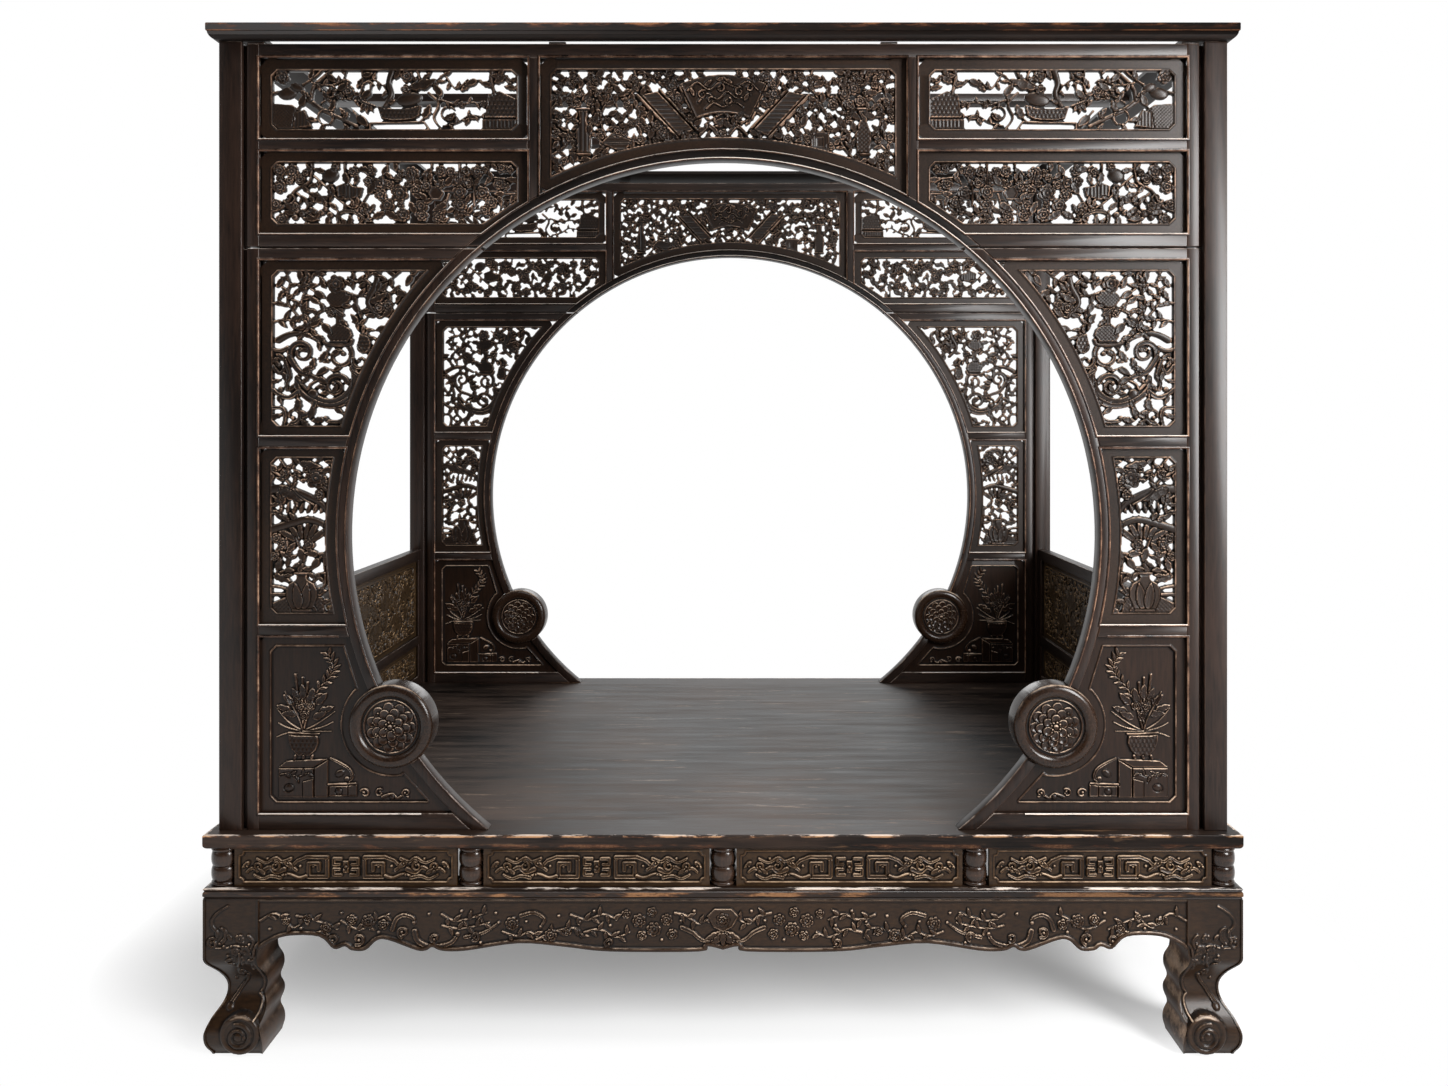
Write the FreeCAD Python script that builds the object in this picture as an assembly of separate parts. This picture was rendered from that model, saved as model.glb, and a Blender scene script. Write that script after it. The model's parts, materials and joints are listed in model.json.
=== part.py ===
import FreeCAD, Part
import math
import os

os.makedirs("parts", exist_ok=True)

# whole bed, millimetres, resting on the floor with its front toward -Y
bedWidth = 2180.0
bedDepth = 1500.0
halfWidth = bedWidth / 2
halfDepth = bedDepth / 2
fitGap = 0.4
overrun = 20.0

# deck
deckTop = 466.0
deckThick = 31.0
deckBottom = deckTop - deckThick
deckRailWidth = 95.0
deckNoseRadius = 11.0
boardCount = 6
boardThick = 18.0
boardTongue = 10.0
boardTongueThick = 6.0
boardTongueDrop = 6.0
battenWidth = 60.0
battenDepth = 38.0
battenSpacing = halfWidth * 0.5138
battenTenonLength = 15.0
battenTenonWidth = 34.0
battenTenonHeight = 8.0
battenTenonDrop = 3.0

# waist and ledge
waistHeight = 80.0
ledgeTop = deckBottom - waistHeight
ledgeThick = 25.0
ledgeBottom = ledgeTop - ledgeThick
ledgeWidth = 70.0
ledgeNose = 6.0
waistSetback = 11.0
waistPanelThick = 14.0
waistTongue = 6.0
balusterRadius = 28.0
balusterNeckRadius = 19.0
balusterSetback = 34.0
balusterBlockHalf = 28.0
balusterBlockDepth = 12.0
balusterPin = 14.0
balusterPinLength = 8.0
balusterBulges = 3
balusterSides = 8
bulgeShares = ((0.0, 0.0), (0.5, 1.0))
frontBalusterOffset = halfWidth * 0.4881
frontBalusterOffsets = (-frontBalusterOffset, 0.0, frontBalusterOffset)
sideBalusterOffset = halfDepth * 0.3187
sideBalusterOffsets = (-sideBalusterOffset, sideBalusterOffset)

# apron
apronThick = 24.0
apronDepth = 108.0
apronTongue = 8.0
apronTongueThick = 10.0
apronTenonLength = 18.0
apronTenonDrop = 12.0
apronTenonHeight = 52.0
apronEdgeShares = (
    (1.0, 1.0), (0.983, 0.86), (0.94, 0.7), (0.87, 0.71), (0.838, 0.95), (0.814, 0.9),
    (0.8, 0.975), (0.77, 0.975), (0.745, 0.785), (0.72, 0.78), (0.66, 0.975), (0.638, 0.975),
    (0.626, 0.915), (0.605, 0.985), (0.555, 0.985), (0.44, 0.84), (0.34, 0.91),
    (0.243, 1.0), (0.052, 1.0), (0.033, 0.9), (0.0, 0.965))

# legs, square in plan
legHeight = ledgeBottom
legSquare = 117.0
legTenon = 28.0
legTenonSetback = 28.0
legTenonLength = 16.0
legOuterLineShares = ((0.0, 1.0), (0.0, 0.63), (0.205, 0.51))
legOuterArcShares = (
    ((0.32, 0.395), (0.205, 0.28)), ((0.12, 0.235), (0.05, 0.19)), ((0.0, 0.12), (0.134, 0.0)))
legInnerArcShares = (
    ((1.07, 0.08), (0.985, 0.19)), ((1.07, 0.275), (0.985, 0.365)), ((1.06, 0.45), (0.975, 0.55)))
legSoleShare = 1.015
legInnerLineShares = ((0.965, 0.62), (1.0, 0.675), (1.0, 1.0))

# corner posts stand back from the edge of the deck
postSquare = 48.0
postSetbackX = 22.0
postSetbackY = 28.0
postOuterX = halfWidth - postSetbackX
postOuterY = halfDepth - postSetbackY
postTenon = 24.0
postTenonDown = 22.0
postTenonUp = 16.0
postX = postOuterX - postSquare / 2
postY = postOuterY - postSquare / 2

# gate screens, sizes in the plane of the screen
screenThick = 34.0
screenFrontSetback = 4.0
screenSideGap = 10.0
screenOuter = postOuterX - postSquare - screenSideGap
screenTongue = 18.0
screenTongueThick = 10.0
stileWidth = 25.0
sideRecess = screenOuter - stileWidth

# moon gate: its circle fills the width, and sets the heights of the rails beside and over it
archSideSpace = 163.0
archWidth = 24.0
archRadius = sideRecess - archSideSpace
gateRadius = archRadius - archWidth
gateHeight = deckTop + archRadius * 0.75912
muntinWidth = 26.0
muntinInner = archRadius * 0.4732
muntinOuter = muntinInner + muntinWidth
topRailHeight = 29.0
topRailBottom = gateHeight + archRadius * 1.2348
screenTop = topRailBottom + topRailHeight
midRailHeight = 27.0
midRailTop = gateHeight + archRadius * 1.0255
midRailBottom = midRailTop - midRailHeight
lowRailHeight = 28.0
lowRailTop = gateHeight + archRadius * 0.781
transomBottom = lowRailTop - lowRailHeight
shadowGap = 4.0
lowerTop = transomBottom - shadowGap
headRailHeight = 25.0
headRailBottom = lowerTop - headRailHeight
upperRailHeight = 28.0
upperRailTop = gateHeight + archRadius * 0.2591
upperRailBottom = upperRailTop - upperRailHeight
lowerRailHeight = 27.0
lowerRailTop = gateHeight - archRadius * 0.2287
lowerRailBottom = lowerRailTop - lowerRailHeight
sillRailHeight = 35.0
sillRailTop = deckTop + sillRailHeight
archTenonLength = 16.0
archTenonWidth = 10.0
archTenonThick = 12.0
archTenonRoot = 12.0
roundelX = archRadius * 0.85706
roundelHeight = gateHeight - archRadius * 0.49075
roundelRadius = archRadius * 0.10827
roundelField = roundelRadius * 0.674
roundelRim = roundelRadius * 0.7416
roundelThick = 58.0
roundelSink = 10.0

# canopy
spacerHeight = 4.0
spacerLength = 36.0
spacerOffset = screenOuter * 0.3485
postTop = screenTop + spacerHeight
corniceHeight = 32.0
bedHeight = postTop + corniceHeight
corniceReachX = 18.0
corniceReachY = 24.0
corniceHalfWidth = postOuterX + corniceReachX
corniceHalfDepth = postOuterY + corniceReachY
corniceWidth = 86.0
fasciaHeight = 17.0
coveShare = 0.45
canopyBattenWidth = 58.0
canopyBattenThick = 20.0
canopyBattenDrop = 6.0
canopyBattenTenon = 20.0
canopyBattenOffset = corniceHalfDepth * 0.2976

# panels and their grooves
grooveDepth = 8.0
panelThick = 16.0

# piercings of the openwork panels
piercingLength = 27.0
piercingWidth = 11.0
piercingMargin = 46.0
piercingTurn = 57.0
piercingRun = 29.0
piercingTailShare = 0.35
halfTurn = 180.0

# carving that stands proud of the centre panel's front face: a fan, leaning pictures and vases
motifRise = 3.0
motifGap = 5.0
fanOuterRadius = archRadius * 0.2725
fanInnerRadius = archRadius * 0.1715
fanPivot = gateHeight + archRadius * 0.9221
fanHalfAngle = 24.5
pictureShares = ((0.2141, 1.1411), (0.1703, 1.1509), (0.0754, 1.0487), (0.1156, 1.0341))
vaseShares = ((0.3455, 0.9854), (0.3796, 0.9854), (0.3844, 1.0401), (0.3698, 1.1071), (0.3552, 1.1071),
              (0.3406, 1.0401))

# side railings
railingThick = 30.0
railingHeight = 446.0
railingTopRail = 34.0
railingMidRail = 30.0
railingMidRise = 133.0
railingSill = 31.0
railingTop = deckTop + railingHeight
railingMidBottom = deckTop + railingMidRise
railingMidTop = railingMidBottom + railingMidRail
railingSillTop = deckTop + railingSill
railingStile = 30.0
railingTongue = 8.0


def vector(x, y, z):
    return FreeCAD.Vector(x, y, z)


def box(x0, x1, y0, y1, z0, z1):
    return Part.makeBox(x1 - x0, y1 - y0, z1 - z0, vector(x0, y0, z0))


def centredBox(x, y, width, z0, z1):
    half = width / 2
    return box(x - half, x + half, y - half, y + half, z0, z1)


def cylinderAlongY(x, z, radius, y0, y1):
    return Part.makeCylinder(radius, y1 - y0, vector(x, y0, z), vector(0, 1, 0))


def mirrored(shape):
    return shape.mirror(vector(0, 0, 0), vector(1, 0, 0))


def turned(shape, degrees):
    copy = shape.copy()
    copy.rotate(vector(0, 0, 0), vector(0, 0, 1), degrees)
    return copy


def moved(shape, x, y, z):
    copy = shape.copy()
    copy.translate(vector(x, y, z))
    return copy


# a closed outline of straight runs, and of arcs given as (through, end)
def outlineFace(start, steps):
    edges = []
    here = start
    for step in steps:
        if len(step) == 2:
            edges.append(Part.Arc(here, step[0], step[1]).toShape())
            here = step[1]
        elif step.distanceToPoint(here) > 0:
            edges.append(Part.makeLine(here, step))
            here = step
    if here.distanceToPoint(start) > fitGap / 1000:
        edges.append(Part.makeLine(here, start))
    return Part.Face(Part.Wire(edges))


def polygonPrism(points, direction):
    wire = Part.makePolygon(list(points) + [points[0]])
    return Part.Face(wire).extrude(direction)


def save(name, solids):
    pieces = []
    for solid in solids:
        pieces.extend(solid.Solids)
    for piece in pieces:
        if not piece.isValid() or piece.Volume <= 0:
            raise ValueError("bad solid in " + name)
    shape = pieces[0] if len(pieces) == 1 else Part.makeCompound(pieces)
    shape.exportStep("parts/" + name + ".step")
    print(name, len(pieces))


# a rail of the front side, cut to a 45 degree mitre at both ends
def mitredRail(face, halfLength, offset, width):
    bar = face.extrude(vector(2 * halfLength, 0, 0))
    low = -overrun
    trim = polygonPrism((
        vector(-halfLength, -offset, low), vector(halfLength, -offset, low),
        vector(halfLength - width, width - offset, low), vector(width - halfLength, width - offset, low)),
        vector(0, 0, bedHeight + 2 * overrun))
    return bar.common(trim)


def fourSides(front, side):
    return [front, turned(front, halfTurn)], [turned(side, sign * halfTurn / 2) for sign in (1, -1)]


# waist: balusters turned with three swellings, kept to few sides, and plain boards between them
def balusterLevels():
    step = waistHeight / balusterBulges
    levels = []
    for number in range(balusterBulges):
        for heightShare, swellShare in bulgeShares:
            radius = balusterNeckRadius + (balusterRadius - balusterNeckRadius) * swellShare
            levels.append((radius, ledgeTop + step * (number + heightShare)))
    levels.append((balusterNeckRadius, deckBottom))
    return levels


def balusterTurning(x, y):
    rings = []
    for radius, z in balusterLevels():
        ring = []
        for side in range(balusterSides):
            angle = 2 * math.pi * side / balusterSides
            ring.append(vector(x + radius * math.cos(angle), y + radius * math.sin(angle), z))
        rings.append(ring)
    faces = []
    for lower, upper in zip(rings, rings[1:]):
        for side in range(balusterSides):
            following = (side + 1) % balusterSides
            corners = [lower[side], lower[following], upper[following], upper[side], lower[side]]
            faces.append(Part.Face(Part.makePolygon(corners)))
    for ring in (rings[0], rings[-1]):
        faces.append(Part.Face(Part.makePolygon(ring + [ring[0]])))
    solid = Part.Solid(Part.Shell(faces))
    if solid.Volume < 0:
        solid.reverse()
    return solid


def waistSlab(x0, x1, offset):
    front = waistSetback - offset
    return box(x0, x1, front, front + waistPanelThick, ledgeTop - waistTongue, deckBottom + waistTongue)


def waistPanels(halfLength, offset, stations):
    cornerReach = halfLength - balusterSetback - balusterRadius
    ends = [-cornerReach]
    for station in stations:
        ends += [station - balusterRadius, station + balusterRadius]
    ends.append(cornerReach)
    return [waistSlab(x0, x1, offset) for x0, x1 in zip(ends[::2], ends[1::2])]


def waistGroove(halfLength, offset):
    reach = halfLength - balusterSetback - balusterRadius
    return waistSlab(-reach, reach, offset)


# half of the turning shows between the panels, a block behind it backs their ends
def middleBaluster(station, offset):
    plane = balusterSetback - offset
    turning = balusterTurning(station, plane)
    reach = 2 * balusterRadius
    front = turning.common(box(station - reach, station + reach, plane - reach, plane, 0, bedHeight))
    block = box(station - balusterBlockHalf, station + balusterBlockHalf, plane,
                plane + balusterBlockDepth, ledgeTop, deckBottom)
    return front.fuse(block).removeSplitter()


frontPanels = waistPanels(halfWidth, halfDepth, frontBalusterOffsets)
sidePanels = waistPanels(halfDepth, halfWidth, sideBalusterOffsets)
frontMiddles = [middleBaluster(station, halfDepth) for station in frontBalusterOffsets]
sideMiddles = [middleBaluster(station, halfWidth) for station in sideBalusterOffsets]
waistPanelsLong = frontPanels + [turned(piece, halfTurn) for piece in frontPanels]
waistPanelsShort = [turned(piece, sign * halfTurn / 2) for sign in (1, -1) for piece in sidePanels]
middleBalusters = frontMiddles + [turned(piece, halfTurn) for piece in frontMiddles]
middleBalusters += [turned(piece, sign * halfTurn / 2) for sign in (1, -1) for piece in sideMiddles]
waistGrooves = [waistGroove(halfWidth, halfDepth), turned(waistGroove(halfWidth, halfDepth), halfTurn)]
waistGrooves += [turned(waistGroove(halfDepth, halfWidth), sign * halfTurn / 2) for sign in (1, -1)]
cornerX = halfWidth - balusterSetback
cornerY = halfDepth - balusterSetback
cornerBalusters = []
balusterPins = []
for signX in (-1, 1):
    for signY in (-1, 1):
        pin = centredBox(signX * cornerX, signY * cornerY, balusterPin,
                         ledgeTop - balusterPinLength, deckBottom + balusterPinLength)
        balusterPins.append(pin)
        cornerBalusters.append(balusterTurning(signX * cornerX, signY * cornerY).fuse(pin).removeSplitter())
save("waist_panels_front_rear", waistPanelsLong)
save("waist_panels_sides", waistPanelsShort)
save("waist_balusters_corner", cornerBalusters)
save("waist_balusters_middle", middleBalusters)


# legs: the front outline and the side outline are the same curve
def legPoint(share):
    return vector(legSquare * share[0], 0, legHeight * share[1])


def legOutline():
    steps = [legPoint(share) for share in legOuterLineShares[1:]]
    steps += [(legPoint(through), legPoint(end)) for through, end in legOuterArcShares]
    steps.append(legPoint((legSoleShare, 0)))
    steps += [(legPoint(through), legPoint(end)) for through, end in legInnerArcShares]
    steps += [legPoint(share) for share in legInnerLineShares]
    return outlineFace(legPoint(legOuterLineShares[0]), steps)


def legBlank():
    reach = 2 * legSquare
    front = legOutline().extrude(vector(0, reach, 0))
    side = legOutline().extrude(vector(0, -reach, 0))
    side.rotate(vector(0, 0, 0), vector(0, 0, 1), 90)
    tenonCentre = legTenonSetback + legTenon / 2
    tenon = centredBox(tenonCentre, tenonCentre, legTenon, legHeight - fitGap, legHeight + legTenonLength)
    return front.common(side).fuse(tenon).removeSplitter()


# a leg blank stands with its outer corner at zero and grows toward +X +Y
def legSet():
    left = moved(legBlank(), -halfWidth, -halfDepth, 0)
    front = [left, mirrored(left)]
    return front, [leg.mirror(vector(0, 0, 0), vector(0, 1, 0)) for leg in front]


# aprons: scalloped lower edge, a tongue along the top and a tenon at each end
def apronEdge(halfSpan):
    points = []
    for along, down in apronEdgeShares:
        points.append(vector(halfSpan * along, 0, ledgeBottom - apronDepth * down))
    return points


def apron(halfLength, offset):
    halfSpan = halfLength - legSquare
    right = apronEdge(halfSpan)
    left = [vector(-point.x, 0, point.z) for point in reversed(right)]
    points = [vector(-halfSpan, 0, ledgeBottom), vector(halfSpan, 0, ledgeBottom)] + right + left
    board = moved(polygonPrism(points, vector(0, apronThick, 0)), 0, -offset, 0)
    y0 = (apronThick - apronTongueThick) / 2 - offset
    y1 = y0 + apronTongueThick
    tongue = box(-halfSpan, halfSpan, y0, y1, ledgeBottom - fitGap, ledgeBottom + apronTongue)
    tenonTop = ledgeBottom - apronTenonDrop
    reach = halfSpan + apronTenonLength
    tenon = box(-reach, reach, y0, y1, tenonTop - apronTenonHeight, tenonTop)
    return board.fuse([tongue, tenon]).removeSplitter()


frontApron = apron(halfWidth, halfDepth)
sideApron = apron(halfDepth, halfWidth)
longAprons, shortAprons = fourSides(frontApron, sideApron)
aprons = longAprons + shortAprons
frontLegs, rearLegs = legSet()
save("legs_front", [leg.cut(aprons).removeSplitter() for leg in frontLegs])
save("legs_rear", [leg.cut(aprons).removeSplitter() for leg in rearLegs])
save("aprons_front_rear", longAprons)
save("aprons_sides", shortAprons)


# ledge: round nose at the outer edge
def ledgeFace(halfLength, offset):
    def at(inward, z):
        return vector(-halfLength, inward - offset, z)
    middle = (ledgeBottom + ledgeTop) / 2
    steps = [(at(0, middle), at(ledgeNose, ledgeTop)), at(ledgeWidth, ledgeTop), at(ledgeWidth, ledgeBottom)]
    return outlineFace(at(ledgeNose, ledgeBottom), steps)


ledgeFront = mitredRail(ledgeFace(halfWidth, halfDepth), halfWidth, halfDepth, ledgeWidth)
ledgeSide = mitredRail(ledgeFace(halfDepth, halfWidth), halfDepth, halfWidth, ledgeWidth)
longLedges, shortLedges = fourSides(ledgeFront, ledgeSide)
ledgeTools = waistGrooves + balusterPins + aprons + frontLegs + rearLegs
save("ledges_front_rear", [ledge.cut(ledgeTools).removeSplitter() for ledge in longLedges])
save("ledges_sides", [ledge.cut(ledgeTools).removeSplitter() for ledge in shortLedges])


# posts
def postBlank(signX, signY):
    x = signX * postX
    y = signY * postY
    shaft = centredBox(x, y, postSquare, deckTop, postTop)
    tenon = centredBox(x, y, postTenon, deckTop - postTenonDown, postTop + postTenonUp)
    return shaft.fuse(tenon).removeSplitter()


# deck frame with its rounded lower nose, and the boards between
def deckFace(halfLength, offset):
    def at(inward, z):
        return vector(-halfLength, inward - offset, z)
    corner = deckNoseRadius * (1 - math.sqrt(2) / 2)
    steps = [(at(corner, deckBottom + corner), at(0, deckBottom + deckNoseRadius)), at(0, deckTop),
             at(deckRailWidth, deckTop), at(deckRailWidth, deckBottom)]
    return outlineFace(at(deckNoseRadius, deckBottom), steps)


boardHalfLength = halfWidth - deckRailWidth
boardHalfSpan = halfDepth - deckRailWidth
boardWidth = 2 * boardHalfSpan / boardCount
tongueTop = deckTop - boardTongueDrop
tongueBottom = tongueTop - boardTongueThick
boards = []
for number in range(boardCount):
    y0 = number * boardWidth - boardHalfSpan
    y1 = y0 + boardWidth
    core = box(-boardHalfLength, boardHalfLength, y0, y1, deckTop - boardThick, deckTop)
    tongueStart = y0 - boardTongue if number == 0 else y0
    tongueEnd = y1 + boardTongue if number == boardCount - 1 else y1
    tongue = box(-boardHalfLength - boardTongue, boardHalfLength + boardTongue,
                 tongueStart, tongueEnd, tongueBottom, tongueTop)
    boards.append(core.fuse(tongue).removeSplitter())
battenTop = deckTop - boardThick
battens = []
for number in (-1, 0, 1):
    x = number * battenSpacing
    half = battenWidth / 2
    body = box(x - half, x + half, -boardHalfSpan, boardHalfSpan, battenTop - battenDepth, battenTop)
    tenonTop = battenTop - battenTenonDrop
    reach = boardHalfSpan + battenTenonLength
    halfTenon = battenTenonWidth / 2
    tenon = box(x - halfTenon, x + halfTenon, -reach, reach, tenonTop - battenTenonHeight, tenonTop)
    battens.append(body.fuse(tenon).removeSplitter())
save("deck_boards", boards)
save("deck_battens", battens)

posts = {}
for signX, sideName in ((-1, "left"), (1, "right")):
    for signY, endName in ((-1, "front"), (1, "rear")):
        posts[endName, sideName] = postBlank(signX, signY)
deckFront = mitredRail(deckFace(halfWidth, halfDepth), halfWidth, halfDepth, deckRailWidth)
deckSide = mitredRail(deckFace(halfDepth, halfWidth), halfDepth, halfWidth, deckRailWidth)
longDecks, shortDecks = fourSides(deckFront, deckSide)
deckTools = waistGrooves + balusterPins + boards + battens + list(posts.values())
save("deck_rails_front_rear", [rail.cut(deckTools).removeSplitter() for rail in longDecks])
save("deck_rails_sides", [rail.cut(deckTools).removeSplitter() for rail in shortDecks])


# canopy: fascia over a cove, mitred, with two battens across
def corniceFace(halfLength, offset):
    fasciaBottom = bedHeight - fasciaHeight
    lip = corniceHalfWidth - postOuterX
    def at(inward, z):
        return vector(-halfLength, inward - offset, z)
    through = at(lip * coveShare, postTop + (fasciaBottom - postTop) * coveShare)
    steps = [(through, at(0, fasciaBottom)), at(0, bedHeight)]
    steps += [at(corniceWidth, bedHeight), at(corniceWidth, postTop)]
    return outlineFace(at(lip, postTop), steps)


def cornice(halfLength, offset):
    return mitredRail(corniceFace(halfLength, offset), halfLength, offset, corniceWidth)


corniceFront = cornice(corniceHalfWidth, corniceHalfDepth)
corniceSide = cornice(corniceHalfDepth, corniceHalfWidth)
longCornices, shortCornices = fourSides(corniceFront, corniceSide)
canopyBattens = []
for number in (-1, 1):
    y = number * canopyBattenOffset
    half = canopyBattenWidth / 2
    reach = corniceHalfWidth - corniceWidth + canopyBattenTenon
    top = bedHeight - canopyBattenDrop
    canopyBattens.append(box(-reach, reach, y - half, y + half, top - canopyBattenThick, top))
canopyTools = canopyBattens + list(posts.values())
save("cornice_front_rear", [rail.cut(canopyTools).removeSplitter() for rail in longCornices])
save("cornice_sides", [rail.cut(canopyTools).removeSplitter() for rail in shortCornices])
save("canopy_battens", canopyBattens)

# screen built with its front face at the depth of the front screen, right half first
screenFront = screenFrontSetback - postOuterY
screenBack = screenFront + screenThick
screenMiddle = (screenFront + screenBack) / 2
grooveFront = screenMiddle - panelThick / 2
grooveBack = screenMiddle + panelThick / 2
tongueFront = screenMiddle - screenTongueThick / 2
tongueBack = screenMiddle + screenTongueThick / 2
openings = {
    "upper": (muntinOuter, sideRecess, midRailTop, topRailBottom),
    "shoulder": (muntinOuter, sideRecess, lowRailTop, midRailBottom),
    "centre": (-muntinInner, muntinInner, gateHeight, topRailBottom),
    "scroll": (muntinOuter, sideRecess, upperRailTop, headRailBottom),
    "vase": (muntinOuter, sideRecess, lowerRailTop, upperRailBottom),
    "corner": (muntinOuter, sideRecess, sillRailTop, lowerRailBottom)}


def archDisc(growth):
    return cylinderAlongY(0, gateHeight, archRadius + growth, -bedDepth, bedDepth)


def roundelDisc(growth):
    return cylinderAlongY(roundelX, roundelHeight, roundelRadius + growth, -bedDepth, bedDepth)


def grooveSlab(x0, x1, z0, z1):
    return box(x0, x1, grooveFront, grooveBack, z0, z1)


def piercings(x0, x1, z0, z1, columns, rows):
    holes = []
    cellX = (x1 - x0) / columns
    cellZ = (z1 - z0) / rows
    for row in range(rows):
        for column in range(columns):
            x = x0 + cellX * (column + 1 / 2)
            z = z0 + cellZ * (row + 1 / 2)
            if math.hypot(x, z - gateHeight) < archRadius + piercingMargin:
                continue
            angle = math.radians(piercingTurn + piercingRun * (column * 2 + row * 3))
            shape = []
            for along, across in ((-1, 0), (-piercingTailShare, 1), (1, 0), (-piercingTailShare, -1)):
                u = piercingLength * along
                v = piercingWidth * across
                shape.append(vector(x + u * math.cos(angle) - v * math.sin(angle), screenFront,
                                    z + u * math.sin(angle) + v * math.cos(angle)))
            holes.append(polygonPrism(shape, vector(0, screenThick, 0)))
    return holes


# a panel is a board whose straight edges lie in the grooves round its opening, its curved edge is scribed
def panel(name, columns, rows):
    x0, x1, z0, z1 = openings[name]
    grow = grooveDepth - fitGap
    board = grooveSlab(x0 - grow, x1 + grow, z0 - grow, z1 + grow).cut(archDisc(fitGap))
    if name == "corner":
        board = board.cut(roundelDisc(fitGap))
    board = sorted(board.Solids, key=lambda solid: -solid.Volume)[0]
    if rows:
        margin = piercingMargin
        board = board.cut(piercings(x0 + margin, x1 - margin, z0 + margin, z1 - margin, columns, rows))
    return board


motifFront = grooveFront - motifRise
motifThrough = vector(0, screenMiddle - motifFront, 0)


def fan():
    angle = math.radians(fanHalfAngle)

    def at(radius, side):
        turn = side * angle
        return vector(radius * math.sin(turn), motifFront, fanPivot + radius * math.cos(turn))

    steps = [(at(fanOuterRadius, 0), at(fanOuterRadius, 1)), at(fanInnerRadius, 1)]
    steps.append((at(fanInnerRadius, 0), at(fanInnerRadius, -1)))
    return outlineFace(at(fanOuterRadius, -1), steps).extrude(motifThrough)


# outline in shares of the arch's radius, from the middle of the gate
def motif(shares):
    points = [vector(archRadius * along, motifFront, gateHeight + archRadius * up) for along, up in shares]
    return polygonPrism(points, motifThrough)


# the centre panel is pierced only clear of its motifs
def centrePanel(columns, rows):
    x0, x1, _, z1 = openings["centre"]
    crown = gateHeight + archRadius
    motifs = [fan()] + pair(motif(pictureShares)) + pair(motif(vaseShares))
    margin = piercingMargin
    holes = piercings(x0 + margin, x1 - margin, crown, z1 - margin, columns, rows)
    clear = [hole for hole in holes if all(hole.distToShape(shape)[0] > motifGap for shape in motifs)]
    return panel("centre", 0, 0).cut(clear).fuse(motifs).removeSplitter()


# rail with grooves along its edges, which also thin the tenons; an end at the arch is scribed to it
def screenRail(x0, x1, z0, z1, onArch, grooveBelow, grooveAbove):
    body = box(x0, x1, screenFront, screenBack, z0, z1)
    start = x0 if onArch else x0 - grooveDepth
    rail = body.fuse(grooveSlab(start, x1 + grooveDepth, z0, z1))
    cuts = [archDisc(fitGap)] if onArch else []
    if grooveBelow:
        cuts.append(grooveSlab(-screenOuter, screenOuter, z0 - overrun, z0 + grooveDepth))
    if grooveAbove:
        cuts.append(grooveSlab(-screenOuter, screenOuter, z1 - grooveDepth, z1 + overrun))
    return rail.cut(cuts).removeSplitter()


def screenStile(z0, z1):
    body = box(sideRecess, screenOuter, screenFront, screenBack, z0, z1)
    tongue = box(screenOuter, screenOuter + screenTongue, tongueFront, tongueBack, z0, z1)
    groove = grooveSlab(sideRecess - overrun, sideRecess + grooveDepth, z0, z1)
    return body.fuse(tongue).cut(groove).removeSplitter()


# ring of the gate
def gateRing():
    corners = [vector(gateRadius, screenFront, 0), vector(archRadius, screenFront, 0),
               vector(archRadius, screenBack, 0), vector(gateRadius, screenBack, 0)]
    face = Part.Face(Part.makePolygon(corners + [corners[0]]))
    return moved(face.revolve(vector(0, 0, 0), vector(0, 1, 0), 2 * halfTurn), 0, 0, gateHeight)


def ringPart(x0, z0, z1):
    return ring.common(box(x0, bedWidth, -bedDepth, bedDepth, z0, z1))


# square tenon that carries the ring into the roundel, set on the ring's middle line
def ringTenon(sign):
    middle = (gateRadius + archRadius) / 2
    toRoundel = math.atan2(roundelHeight - gateHeight, roundelX)
    halfAngle = 2 * math.asin(roundelRadius / middle / 2)
    halfLong = (archTenonLength + archTenonRoot) / 2
    away = (archTenonRoot - archTenonLength) / 2
    block = box(-archTenonWidth / 2, archTenonWidth / 2, screenMiddle - archTenonThick / 2,
                screenMiddle + archTenonThick / 2, sign * away - halfLong, sign * away + halfLong)
    angle = toRoundel + sign * halfAngle
    block.rotate(vector(0, 0, 0), vector(0, 1, 0), -math.degrees(angle))
    return moved(block, middle * math.cos(angle), 0, gateHeight + middle * math.sin(angle))


# roundel: sunk field and raised rim toward the front, a plain back
def roundelBody():
    half = roundelThick / 2
    points = [vector(0, roundelSink - half, 0), vector(roundelField, roundelSink - half, 0),
              vector(roundelRim, -half, 0), vector(roundelRadius, -half, 0),
              vector(roundelRadius, half, 0), vector(0, half, 0)]
    face = Part.Face(Part.makePolygon(points + [points[0]]))
    body = face.revolve(vector(0, 0, 0), vector(0, 1, 0), 2 * halfTurn)
    return moved(body, roundelX, screenMiddle, roundelHeight)


def pair(shape):
    return [shape, mirrored(shape)]


ring = gateRing()
topRail = screenRail(-sideRecess, sideRecess, topRailBottom, screenTop, False, True, False)
midRail = screenRail(muntinOuter, sideRecess, midRailBottom, midRailTop, False, True, True)
lowRail = screenRail(muntinOuter, sideRecess, transomBottom, lowRailTop, True, True, True)
muntinBody = box(muntinInner, muntinOuter, screenFront, screenBack, gateHeight, topRailBottom)
muntinTenon = grooveSlab(muntinInner, muntinOuter, gateHeight, topRailBottom + grooveDepth)
muntinCuts = [archDisc(fitGap)]
muntinCuts.append(grooveSlab(muntinInner - overrun, muntinInner + grooveDepth, gateHeight, bedHeight))
muntinCuts.append(grooveSlab(muntinOuter - grooveDepth, muntinOuter + overrun, gateHeight, bedHeight))
muntin = muntinBody.fuse(muntinTenon).cut(muntinCuts).removeSplitter()

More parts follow.
